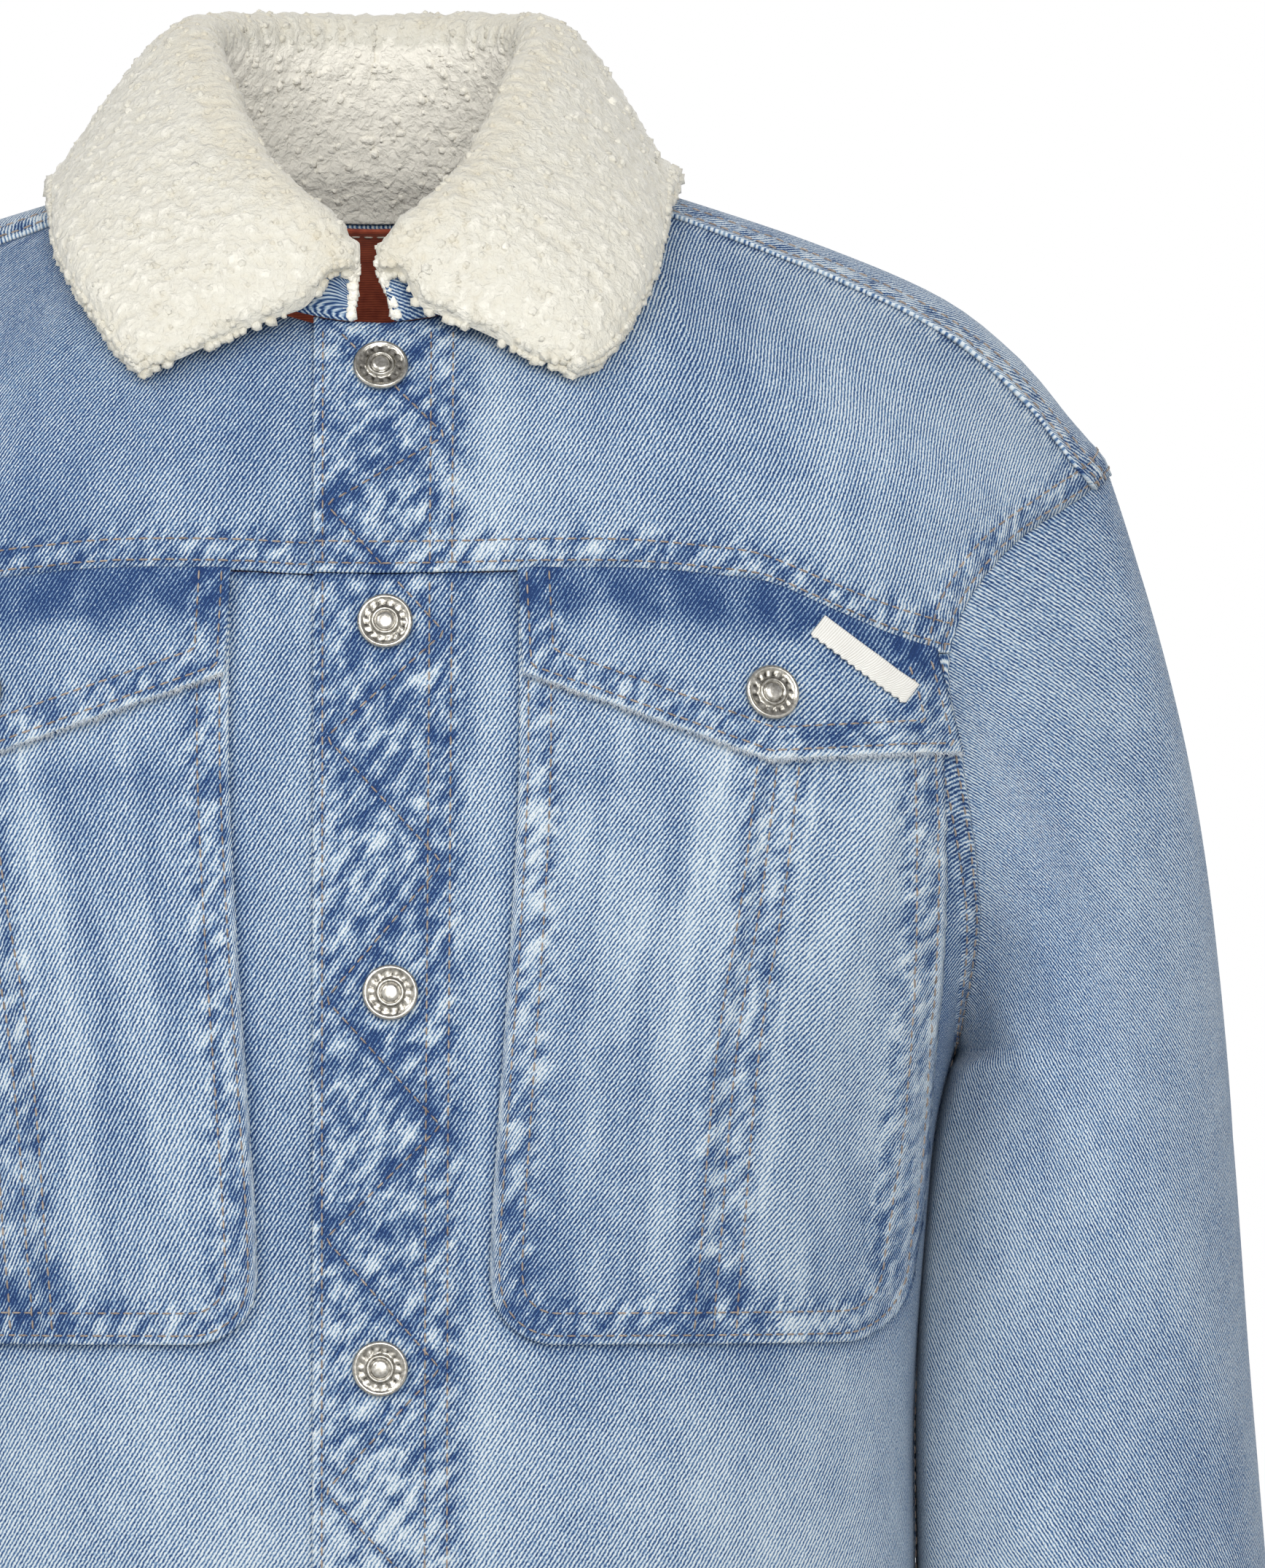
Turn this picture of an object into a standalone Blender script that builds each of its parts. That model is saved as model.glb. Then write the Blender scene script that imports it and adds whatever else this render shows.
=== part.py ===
"""Denim jacket with a pile collar, worn with nobody in it: every cut piece is its own closed wall.

Frame: metres, +Z up, the front faces -Y and the wearer's left is +X. The origin is the middle of the neck
base, where the wearer's neck and shoulders hold the jacket. Tables and sizes below are in millimetres.
"""

import math

import bmesh
import bpy
import numpy as np
from mathutils import Vector

MM = 0.001

# Driving sizes, in millimetres
DENIM = 1.2            # wall of one layer of denim
BAND = 2.4             # folded waistband and cuffs
PILE = 7.0             # height of the sherpa pile on the collar
FOLD_REACH = 32.0      # how far the cloth runs outwards at the collar's fold
COLLAR_CLEARANCE = 3.6  # of the fall's edge over the yoke
LINING = 1.0
SEAM_GAP = 0.3         # between the edges of pieces that are sewn together
LAYER_GAP = 0.8        # under a piece that lies on a panel
BUTTON_GAP = 0.4
NECK_HALF_WIDTH, NECK_FRONT, NECK_BACK = 76.0, 78.0, 70.0
SHOULDER_SEAM_AT = math.radians(75)    # round the neck seam, from the centre front
ARMHOLE_MIDDLE, ARMHOLE_HALF = -173.5, 88.9
ARMHOLE_FRONT, ARMHOLE_BACK = math.radians(31), math.radians(28)
ARMPIT = ARMHOLE_MIDDLE - ARMHOLE_HALF
BACK_YOKE = -125.0
WAIST_SEAM, HEM = -553.0, -593.0
CUFF_SEAM, CUFF_END = -563.0, -613.0
OVERLAP = {"left": 18.6, "right": 17.0}  # how far each front runs past the centre line
TUCKED, FLUSH = 22.0, 40.0  # from the centre line: the right front lies under, and is level again
BUTTON_RADIUS = 8.5
BUTTONS = {"button_1": (2, -56), "button_2": (3.3, -134), "button_3": (4.9, -246),
           "button_4": (1.9, -359), "button_5": (2, -472), "waistband_button": (2, -573)}
FLAP_BUTTON = (119.2, -156.0)

# Sections of the body: height, half width, depth in front of and behind the shoulder line, and the power
# of the rounded oval (2 is an ellipse). The rows above -85 also draw the slope of the shoulders.
BODY = {
    "z":     (8, -1, -13, -28, -46, -65, -85, -110, -138,
              -172, -221, -262, -285, -310, -366, -424, -553, -593),
    "width": (76, 104, 139, 174, 198, 214.5, 228.7, 216, 203,
              202, 195, 180, 174, 170.5, 167.5, 168, 169, 166),
    "front": (18, 34, 48, 64, 82, 93, 100, 105, 111, 118, 125, 127, 127, 127, 126, 124, 118, 115),
    "back":  (46, 68, 82, 93, 103, 110, 116, 121, 125, 128, 128, 125, 123, 121, 116, 112, 109, 108),
    "power": (2, 2, 2, 2, 2.05, 2.1, 2.15, 2.3, 2.5, 2.6, 2.6, 2.6, 2.55, 2.5, 2.45, 2.4, 2.3, 2.3),
}

# Sections of a sleeve below the armhole: the x of its outer and inner side, the y of its front and back
SLEEVE = {
    "z":     (-290, -350, -425, -500, -563, -613),
    "outer": (267.5, 272, 277, 281, 283, 284),
    "inner": (177, 171.5, 172, 180, 194, 199),
    "front": (-62, -62, -60, -52, -42, -39),
    "back":  (84, 80, 72, 62, 50, 46),
}

# Front yoke seam: level at the middle, drooping to the armhole
YOKE_SEAM = {"x": (0, 100, 121, 134, 146, 159, 172), "z": (-119, -119.5, -122.5, -128, -133, -138, -142)}

# Collar, by the angle round the neck seam from the centre front: where its cloth folds over, and where
# its outer edge lies. The wearer's right side flares further out.
COLLAR = {
    "angle":  (2, 15, 30, 45, 60, 75, 96, 117, 138, 159, 180),
    "fold_x": (3, 15, 26, 34, 41, 47, 53, 51, 40, 22, 0),
    "fold_y": (-82, -78, -71, -59, -43, -24, 0, 23, 42, 55, 60),
    "fold_z": (-30, -14, -4, 6, 20, 35, 49, 54, 56, 57, 57),
    "edge_x": (60, 65, 73, 80, 85, 87, 86, 77, 59, 32, 0),
    "edge_y": (-92, -88, -78, -63, -42, -16, 12, 40, 65, 82, 90),
    "edge_z": (-60, -53, -42, -28, -14, -3, 2, 2, 0, -2, -4),
    "flare":  (10, 7, 6, 8, 9, 8, 6, 4, 2, 1, 0),
}

# Patch pocket: its two long sides by height, from under the flap to the bottom
POCKET = {
    "z":     (-124, -180, -230, -281, -322, -352),
    "inner": (43.5, 43.5, 41, 37.5, 35, 34.5),
    "outer": (168, 172.5, 172.5, 168, 163.5, 161),
}
POCKET_CORNER = 20.0
POCKET_UNDER_FLAP = 6.0  # from the yoke seam to the pocket's hidden top edge
FLAP_TOP = (43.0, 169.0)
FLAP_LOWER_EDGE = {"x": (44.6, 118.6, 177), "z": (-150, -176, -172.6)}
LABEL_FROM, LABEL_TO, LABEL_WIDTH = (135.0, -132.0), (163.0, -153.0), 8.0

SHOULDER_COLUMNS = 5                  # facets along the shoulder seam
YOKE_ROWS, ARMHOLE_ROWS = 4, 5
NECK_FRONT_ANGLES = [angle for angle in COLLAR["angle"] if angle <= 75]
NECK_BACK_ANGLES = [angle for angle in COLLAR["angle"] if angle >= 75]
FRONT_COLUMNS = len(NECK_FRONT_ANGLES) + SHOULDER_COLUMNS
BACK_COLUMNS = 2 * (len(NECK_BACK_ANGLES) - 1 + SHOULDER_COLUMNS)
LOWER_ROWS = (-285, -310, -338, -366, -424, -488, WAIST_SEAM)


def curve(table, key, at, name):
    """Smooth value of one column of a table, through every row."""
    knots = np.array(table[name], float)
    values = np.array(table[key], float)
    if knots[0] > knots[-1]:
        knots, values = knots[::-1], values[::-1]
    slopes = np.gradient(values, knots)
    at = min(max(at, knots[0]), knots[-1])
    i = min(int(np.searchsorted(knots, at, side="right")) - 1, len(knots) - 2)
    step = knots[i + 1] - knots[i]
    t = (at - knots[i]) / step
    return ((2 * t**3 - 3 * t**2 + 1) * values[i] + (t**3 - 2 * t**2 + t) * step * slopes[i]
            + (3 * t**2 - 2 * t**3) * values[i + 1] + (t**3 - t**2) * step * slopes[i + 1])


def blend(a, b, t):
    return a + (b - a) * t


def body(key, z):
    return curve(BODY, key, z, "z")


RIDGE_Z = np.linspace(8, -85, 120)
RIDGE_X = np.array([body("width", z) for z in RIDGE_Z])


def ridge(x):
    """Height of the shoulder line above a given distance from the middle."""
    return float(np.interp(abs(x), RIDGE_X, RIDGE_Z))


def on_body(x, z, back=False):
    """Point of the body's outer surface seen at (x, z) from the front or from behind."""
    power = body("power", z)
    reach = max(0.0, 1 - (abs(x) / body("width", z)) ** power) ** (1 / power)
    return Vector((x, body("back", z) * reach if back else -body("front", z) * reach, z))


def at_angle(angle, z):
    """The same surface by the angle round it: 0 is the centre front, a quarter turn the side."""
    power = body("power", z)
    sine, cosine = math.sin(angle), math.cos(angle)
    x = body("width", z) * math.copysign(abs(sine) ** (2 / power), sine)
    depth = body("front", z) if cosine > 0 else body("back", z)
    return Vector((x, -depth * math.copysign(abs(cosine) ** (2 / power), cosine), z))


def angle_at(x, z):
    share = min(1.0, abs(x) / body("width", z)) ** (body("power", z) / 2)
    return math.copysign(math.asin(share), x)


def over_shoulder(x, drop):
    """The same surface by x and the root of the drop below the shoulder line, negative in front."""
    return on_body(x, ridge(x) - drop * drop, drop > 0)


def drop_of(point):
    return math.copysign(math.sqrt(max(0.0, ridge(point.x) - point.z)), point.y)


def body_level(point):
    """Zero on the body's surface and growing outwards; its slope is the surface normal."""
    depth = body("front", point.z) if point.y < 0 else body("back", point.z)
    power = body("power", point.z)
    return (abs(point.x) / body("width", point.z)) ** power + (abs(point.y) / depth) ** power


def body_normal(point):
    steps = [Vector((0.2, 0, 0)), Vector((0, 0.2, 0)), Vector((0, 0, 0.2))]
    return Vector([body_level(point + step) - body_level(point - step) for step in steps]).normalized()


def neck_seam(angle):
    """The body's surface over an oval drawn in plan; 0 is the centre front, half a turn the centre back."""
    x = NECK_HALF_WIDTH * math.sin(angle)
    y = -(NECK_FRONT if math.cos(angle) > 0 else NECK_BACK) * math.cos(angle)
    low, high = -60.0, 8.0
    for _ in range(40):
        middle = (low + high) / 2
        low, high = (middle, high) if body_level(Vector((x, y, middle))) < 1 else (low, middle)
    return Vector((x, y, low))


def armhole(turn, side=1):
    """Edge of the armhole: 0 at the shoulder tip, a quarter turn at the front, half at the armpit."""
    z = ARMHOLE_MIDDLE + ARMHOLE_HALF * math.cos(turn)
    reach = ARMHOLE_FRONT if math.sin(turn) > 0 else ARMHOLE_BACK
    point = at_angle(math.pi / 2 - reach * math.sin(turn) * (1 + 0.4 * math.cos(turn)), z)
    return Vector((point.x * side, point.y, point.z))


def turn_at(z):
    return math.acos((z - ARMHOLE_MIDDLE) / ARMHOLE_HALF)


def yoke_seam(x):
    return curve(YOKE_SEAM, "z", abs(x), "x")


SHOULDER_TURN = math.radians(20)      # where the shoulder seam meets the armhole
YOKE_TURN = turn_at(-142.0)           # where the front yoke seam does
BACK_YOKE_TURN = turn_at(BACK_YOKE)


def spaced(start, end, count):
    return [blend(start, end, i / count) for i in range(count + 1)]


def shoulder_seam(share):
    """From the neck seam to the armhole, a little in front of the shoulder line."""
    near, far = neck_seam(SHOULDER_SEAM_AT), armhole(SHOULDER_TURN)
    return over_shoulder(blend(near.x, far.x, share), blend(drop_of(near), drop_of(far), share))


def front_angles(overlap, z, last):
    """Columns of a front: its edge, either side of the step under the other front, and on to the side."""
    step = [angle_at(x, z) for x in (-overlap, TUCKED, FLUSH)]
    return step[:2] + spaced(step[2], last, FRONT_COLUMNS - 2)


def seam_points(overlap):
    """Points along the front yoke seam from the front edge to the armhole, shared by yoke and front."""
    end = armhole(YOKE_TURN)
    points = []
    for angle in front_angles(overlap, BACK_YOKE, angle_at(end.x, end.z)):
        x = at_angle(angle, BACK_YOKE).x
        points.append(on_body(x, yoke_seam(x)))
    points[-1] = end
    return points


def patch(bottom, top, edge, power=3):
    """Rows of points over the shoulder from one line to another; the last column follows the edge."""
    rows = len(edge) - 1
    grid = []
    for i in range(rows + 1):
        row = []
        for j, (a, b) in enumerate(zip(bottom, top)):
            share = abs(2 * j / (len(bottom) - 1) - 1) if len(edge[0]) == 2 else j / (len(bottom) - 1)
            x = blend(a.x, b.x, i / rows)
            drop = blend(drop_of(a), drop_of(b), i / rows)
            ends = (bottom[0], top[0]) if j < len(bottom) / 2 and len(edge[0]) == 2 else (bottom[-1], top[-1])
            target = edge[i][0] if j < len(bottom) / 2 and len(edge[0]) == 2 else edge[i][-1]
            x += share**power * (target.x - blend(ends[0].x, ends[1].x, i / rows))
            drop += share**power * (drop_of(target) - blend(drop_of(ends[0]), drop_of(ends[1]), i / rows))
            row.append(over_shoulder(x, drop))
        grid.append(row)
    return grid


def trimmed(grid, closed=False):
    """Every free edge drawn back by half the seam gap, so that neighbours stay apart."""
    back = SEAM_GAP / 2
    grid = [[point.copy() for point in row] for row in grid]
    for row in (0, -1):
        inner = 1 if row == 0 else -2
        for j, point in enumerate(grid[row]):
            point += (grid[inner][j] - point).normalized() * back
    if not closed:
        for row in grid:
            for end, inner in ((0, 1), (-1, -2)):
                row[end] += (row[inner] - row[end]).normalized() * back
    return grid


def mirrored(grid):
    return [[Vector((-p.x, p.y, p.z)) for p in row] for row in grid]


def grid_normals(grid, closed=False):
    """Normals of a free form from its own points; a row runs to the right as seen from outside."""
    rows, columns = len(grid), len(grid[0])
    normals = []
    for i in range(rows):
        above, below = grid[max(i - 1, 0)], grid[min(i + 1, rows - 1)]
        line = []
        for j in range(columns):
            left = (j - 1) % columns if closed else max(j - 1, 0)
            right = (j + 1) % columns if closed else min(j + 1, columns - 1)
            line.append((grid[i][right] - grid[i][left]).cross(above[j] - below[j]).normalized())
        normals.append(line)
    return normals


def new_material(name, colour, roughness, metallic=0.0):
    material = bpy.data.materials.new(name)
    material.use_nodes = True
    shader = material.node_tree.nodes["Principled BSDF"]
    shader.inputs["Base Color"].default_value = (*colour, 1)
    shader.inputs["Roughness"].default_value = roughness
    shader.inputs["Metallic"].default_value = metallic
    material.diffuse_color = (*colour, 1)
    return material


def add_mesh(name, points, faces, material):
    """One closed object. The faces are turned outwards together, as a closed body allows."""
    mesh = bpy.data.meshes.new(name)
    mesh.from_pydata([tuple(p * MM) for p in points], [], faces)
    shape = bmesh.new()
    shape.from_mesh(mesh)
    bmesh.ops.recalc_face_normals(shape, faces=shape.faces)
    shape.to_mesh(mesh)
    shape.free()
    mesh.shade_smooth()
    mesh.set_sharp_from_angle(angle=math.radians(40))
    mesh.materials.append(material)
    obj = bpy.data.objects.new(name, mesh)
    bpy.context.scene.collection.objects.link(obj)
    return obj


def wall(name, grid, normals, low, high, material, closed=False, taper=None):
    """A closed wall between two offsets of one grid of points, in millimetres along the normals.

    Both faces are cut into triangles along the same, shorter diagonals, so that layers stay parallel.
    A taper gives each column its share of the outer offset.
    """
    rows, columns = len(grid), len(grid[0])
    points = []
    for offset, shares in ((high, taper or [1] * columns), (low, [1] * columns)):
        for row, line in zip(grid, normals):
            points += [p + n * offset * share for p, n, share in zip(row, line, shares)]
    size = rows * columns
    faces = []
    for i in range(rows - 1):
        for j in range(columns if closed else columns - 1):
            right = (j + 1) % columns
            a, b = i * columns + j, i * columns + right
            c, d = b + columns, a + columns
            one = (grid[i][j] - grid[i + 1][right]).length
            other = (grid[i][right] - grid[i + 1][j]).length
            halves = ([a, b, c], [a, c, d]) if one < other * 1.001 else ([a, b, d], [b, c, d])
            for half in halves:
                faces += [half, [corner + size for corner in reversed(half)]]
    for i in (0, rows - 1):
        for j in range(columns if closed else columns - 1):
            a, b = i * columns + j, i * columns + (j + 1) % columns
            faces.append([a, b, b + size, a + size])
    if not closed:
        for j in (0, columns - 1):
            for i in range(rows - 1):
                a, b = i * columns + j, (i + 1) * columns + j
                faces.append([a, b, b + size, a + size])
    return add_mesh(name, points, faces, material)


def body_wall(name, grid, low, high, material, tuck=None):
    """A wall that lies on the body's form; tuck(x) draws it inwards where another layer covers it."""
    grid = trimmed(grid)
    normals = [[body_normal(p) for p in row] for row in grid]
    if tuck:
        grid = [[p - n * tuck(p.x) for p, n in zip(row, line)] for row, line in zip(grid, normals)]
    return wall(name, grid, normals, low, high, material)


def ease(t):
    t = min(max(t, 0.0), 1.0)
    return t * t * (3 - 2 * t)


def tuck_under(layer):
    """The wearer's right front lies under the left one along the button line."""
    return lambda x: layer * ease((x + FLUSH) / (FLUSH - TUCKED))


def front_yoke(side):
    overlap = OVERLAP[side]
    bottom = seam_points(overlap)
    first = math.asin(-overlap / NECK_HALF_WIDTH)
    top = [neck_seam(angle) for angle in [first] + [math.radians(a) for a in NECK_FRONT_ANGLES]]
    top += [shoulder_seam(share) for share in spaced(0, 1, SHOULDER_COLUMNS)[1:]]
    edge = [(armhole(turn),) for turn in spaced(YOKE_TURN, SHOULDER_TURN, YOKE_ROWS)]
    return patch(bottom, top, edge)


def front(side):
    """The lower front, from the yoke seam to the waist seam."""
    overlap = OVERLAP[side]
    top = seam_points(overlap)
    grid = [top]
    for turn in spaced(YOKE_TURN, math.pi, ARMHOLE_ROWS)[1:]:
        end = armhole(turn)
        down = (end.z - top[-1].z) / (ARMPIT - top[-1].z)
        grid.append(front_row([blend(p.z, ARMPIT, down) for p in top], overlap, end))
    for z in LOWER_ROWS:
        grid.append(front_row([z] * len(top), overlap, at_angle(math.pi / 2, z)))
    return grid


def front_row(heights, overlap, end):
    last = angle_at(end.x, end.z)
    row = [at_angle(front_angles(overlap, z, last)[j], z) for j, z in enumerate(heights)]
    row[-1] = end
    return row


def back_panel():
    """One piece from side seam to side seam, wearer's left to right as seen from behind."""
    grid = []
    for turn in spaced(BACK_YOKE_TURN, math.pi, ARMHOLE_ROWS):
        end = armhole(-turn)
        start = math.pi - angle_at(end.x, end.z)
        grid.append([at_angle(blend(start, 2 * math.pi - start, j / BACK_COLUMNS), end.z)
                     for j in range(BACK_COLUMNS + 1)])
    for z in LOWER_ROWS:
        grid.append([at_angle(blend(math.pi / 2, 1.5 * math.pi, j / BACK_COLUMNS), z)
                     for j in range(BACK_COLUMNS + 1)])
    return grid


def back_yoke():
    """From the back yoke seam over the shoulders to the shoulder seams, in one piece."""
    end = armhole(-BACK_YOKE_TURN)
    start = math.pi - angle_at(end.x, end.z)
    bottom = [at_angle(blend(start, 2 * math.pi - start, j / BACK_COLUMNS), BACK_YOKE)
              for j in range(BACK_COLUMNS + 1)]
    neck = [neck_seam(math.radians(a)) for a in NECK_BACK_ANGLES]
    seam = [shoulder_seam(share) for share in spaced(1, 0, SHOULDER_COLUMNS)]
    right = seam[:-1] + neck
    top = right + [Vector((-p.x, p.y, p.z)) for p in reversed(right[:-1])]
    turns = spaced(-BACK_YOKE_TURN, SHOULDER_TURN, YOKE_ROWS + 1)
    edge = [(armhole(turn), armhole(turn, -1)) for turn in turns]
    return patch(bottom, top, edge)


def sleeve_section(z, turns):
    sides = ("outer", "inner", "front", "back")
    outer, inner, front_y, back_y = (curve(SLEEVE, key, z, "z") for key in sides)
    ring = []
    for turn in turns:
        middle = Vector(((outer + inner) / 2, (front_y + back_y) / 2, z))
        ring.append(middle + Vector(((outer - inner) / 2 * math.cos(turn),
                                     -(back_y - front_y) / 2 * math.sin(turn), 0)))
    return ring


def sleeve_turns():
    """The same places round the armhole as the edges of the body pieces have."""
    turns = spaced(SHOULDER_TURN, YOKE_TURN, YOKE_ROWS)[:-1]
    turns += spaced(YOKE_TURN, math.pi, ARMHOLE_ROWS)[:-1]
    turns += spaced(math.pi, 2 * math.pi - BACK_YOKE_TURN, ARMHOLE_ROWS)[:-1]
    turns += spaced(2 * math.pi - BACK_YOKE_TURN, 2 * math.pi + SHOULDER_TURN, YOKE_ROWS + 1)[:-1]
    return turns


def sleeve():
    """From the armhole the rings fan round to the level section under the armpit, then run down the arm."""
    turns = sleeve_turns()
    first = sleeve_section(SLEEVE["z"][0], turns)
    grid = []
    for t in (0.0, 0.12, 0.3, 0.5, 0.75):
        ring = []
        for turn, end in zip(turns, first):
            sine, cosine = math.sin(turn), math.cos(turn)
            start = armhole(turn)
            leave = Vector((0.3 + 0.5 * abs(sine), 0.35 * sine, -0.75 - 0.2 * abs(cosine))).normalized()
            start = start + leave * SEAM_GAP * 2
            reach = (end - start).length
            arrive = Vector((0.05 * cosine, 0, -1)) * reach
            ring.append(start * (2 * t**3 - 3 * t**2 + 1) + leave * reach * (t**3 - 2 * t**2 + t)
                        + end * (3 * t**2 - 2 * t**3) + arrive * (t**3 - t**2))
        grid.append(ring)
    for z in (-290, -330, -378, -425, -490, CUFF_SEAM):
        grid.append(sleeve_section(z, turns))
    return grid


def collar_sections(side):
    """Lines of the collar's cloth from the neck seam, up the stand, over the fold and down the fall."""
    sections = []
    for k, degrees in enumerate(COLLAR["angle"]):
        flare = COLLAR["flare"][k] if side < 0 else 0
        fold = Vector((COLLAR["fold_x"][k] + flare / 2, COLLAR["fold_y"][k], COLLAR["fold_z"][k]))
        edge = Vector((COLLAR["edge_x"][k] + flare, COLLAR["edge_y"][k], COLLAR["edge_z"][k]))
        base = neck_seam(math.radians(degrees))
        base = base - body_normal(base) * DENIM / 2 + Vector((0, 0, SEAM_GAP + 0.4))
        out = Vector((edge.x - fold.x, edge.y - fold.y, 0)).normalized()
        rise = fold - base
        over = out * min(FOLD_REACH, 1.5 * rise.length)
        line = []
        for t in (0, 0.25, 0.5, 0.7, 0.87, 1):
            line.append(hermite(base, Vector((0, 0, rise.length)), fold, over, t))
        fall = (edge - fold).length
        for t in (0.12, 0.25, 0.4, 0.6, 0.8, 1):
            point = hermite(fold, over, edge, Vector((0, 0, -0.6)) * fall + out * 6, t)
            line.append(clear_of_body(point, COLLAR_CLEARANCE * ease(2 * t)) if t > 0.3 else point)
        sections.append([Vector((p.x * side, p.y, p.z)) for p in line])
    return sections


def clear_of_body(point, distance):
    """The point itself, or lifted off the body's surface where it lies closer than the distance."""
    if point.z > BODY["z"][0]:
        return point
    normal = body_normal(point)
    slope = body_level(point + normal) - body_level(point)
    short = distance - (body_level(point) - 1) / slope
    return point + normal * max(short, 0.0)


def hermite(start, leave, end, arrive, t):
    return (start * (2 * t**3 - 3 * t**2 + 1) + leave * (t**3 - 2 * t**2 + t)
            + end * (3 * t**2 - 2 * t**3) + arrive * (t**3 - t**2))


def collar_grid():
    """Rows from one end of the collar round the back to the other; columns across it."""
    return collar_sections(-1) + collar_sections(1)[-2::-1]


def pocket_grid():
    across = (0, 0.02, 0.06, 0.13, 0.24, 0.36, 0.48, 0.6, 0.72, 0.83, 0.9, 0.96, 0.99, 1)
    down = (0, 0.13, 0.26, 0.38, 0.5, 0.62, 0.74, 0.86, 1)
    bottom = POCKET["z"][-1]
    grid = []
    for v in down:
        row = []
        for u in across:
            width = POCKET["outer"][-1] - POCKET["inner"][-1]
            inside = min(u, 1 - u) * width
            lift = POCKET_CORNER - inside
            rise = POCKET_CORNER - math.sqrt(POCKET_CORNER**2 - lift**2) if lift > 0 else 0
            top_x = blend(POCKET["inner"][0], POCKET["outer"][0], u)
            z = blend(yoke_seam(top_x) - POCKET_UNDER_FLAP, bottom + rise, v)
            x = blend(curve(POCKET, "inner", z, "z"), curve(POCKET, "outer", z, "z"), u)
            row.append(on_body(x, z))
        grid.append(row)
    return grid


def flap_grid():
    edge = FLAP_LOWER_EDGE
    grid = []
    for v in (0, 0.35, 0.7, 1):
        row = []
        for u in spaced(0, 1, 12):
            low_x = blend(edge["x"][0], edge["x"][-1], u)
            low_z = float(np.interp(low_x, edge["x"], edge["z"]))
            top_x = blend(*FLAP_TOP, u)
            row.append(on_body(blend(top_x, low_x, v), blend(yoke_seam(top_x), low_z, v)))
        grid.append(row)
    return grid


def label_grid():
    start, end = Vector((*LABEL_FROM, 0)), Vector((*LABEL_TO, 0))
    across = Vector((end.y - start.y, start.x - end.x, 0)).normalized() * LABEL_WIDTH
    grid = []
    for v in (0, 1):
        row = [start.lerp(end, u) + across * v for u in (0, 0.25, 0.5, 0.75, 1)]
        grid.append([on_body(p.x, p.y) for p in row])
    return grid


def waistband_grid():
    """A strip from the left front edge, round the back, to the end that lies under it."""
    angles = front_angles(OVERLAP["left"], HEM, math.pi / 2)
    angles += spaced(math.pi / 2, 1.5 * math.pi, BACK_COLUMNS)[1:-1]
    angles += [2 * math.pi - angle for angle in reversed(front_angles(OVERLAP["right"], HEM, math.pi / 2))]
    return [[at_angle(angle, z) for angle in angles] for z in (WAIST_SEAM, -573, HEM)]


def band_tuck(grid):
    """How far each point of the waistband lies inside: only its under end does."""
    layer = BAND + LAYER_GAP
    last = len(grid[0]) - 1
    return [[layer * ease((p.x + FLUSH) / (FLUSH - TUCKED)) if j > last - FRONT_COLUMNS else 0
             for j, p in enumerate(row)] for row in grid]


def button(name, seat, normal, material):
    """A tack button's cap: flat seat, rolled rim, sunk ring and raised middle, turned about its axis."""
    profile = ((0.92, 0), (1, 0.12), (0.93, 0.28), (0.76, 0.22), (0.48, 0.24), (0.42, 0.34), (0, 0.36))
    around, radius = 12, BUTTON_RADIUS
    first = normal.orthogonal().normalized()
    second = normal.cross(first)
    points = []
    for share, height in profile[:-1]:
        for k in range(around):
            angle = 2 * math.pi * k / around
            spoke = first * math.cos(angle) + second * math.sin(angle)
            points.append(seat + spoke * radius * share + normal * radius * height)
    top = len(points)
    points.append(seat + normal * radius * profile[-1][1])
    faces = [list(range(around))[::-1]]
    for i in range(len(profile) - 2):
        for k in range(around):
            a, b = i * around + k, i * around + (k + 1) % around
            faces.append([a, b, b + around, a + around])
    last = (len(profile) - 2) * around
    faces += [[last + k, last + (k + 1) % around, top] for k in range(around)]
    return add_mesh(name, points, faces, material)


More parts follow.
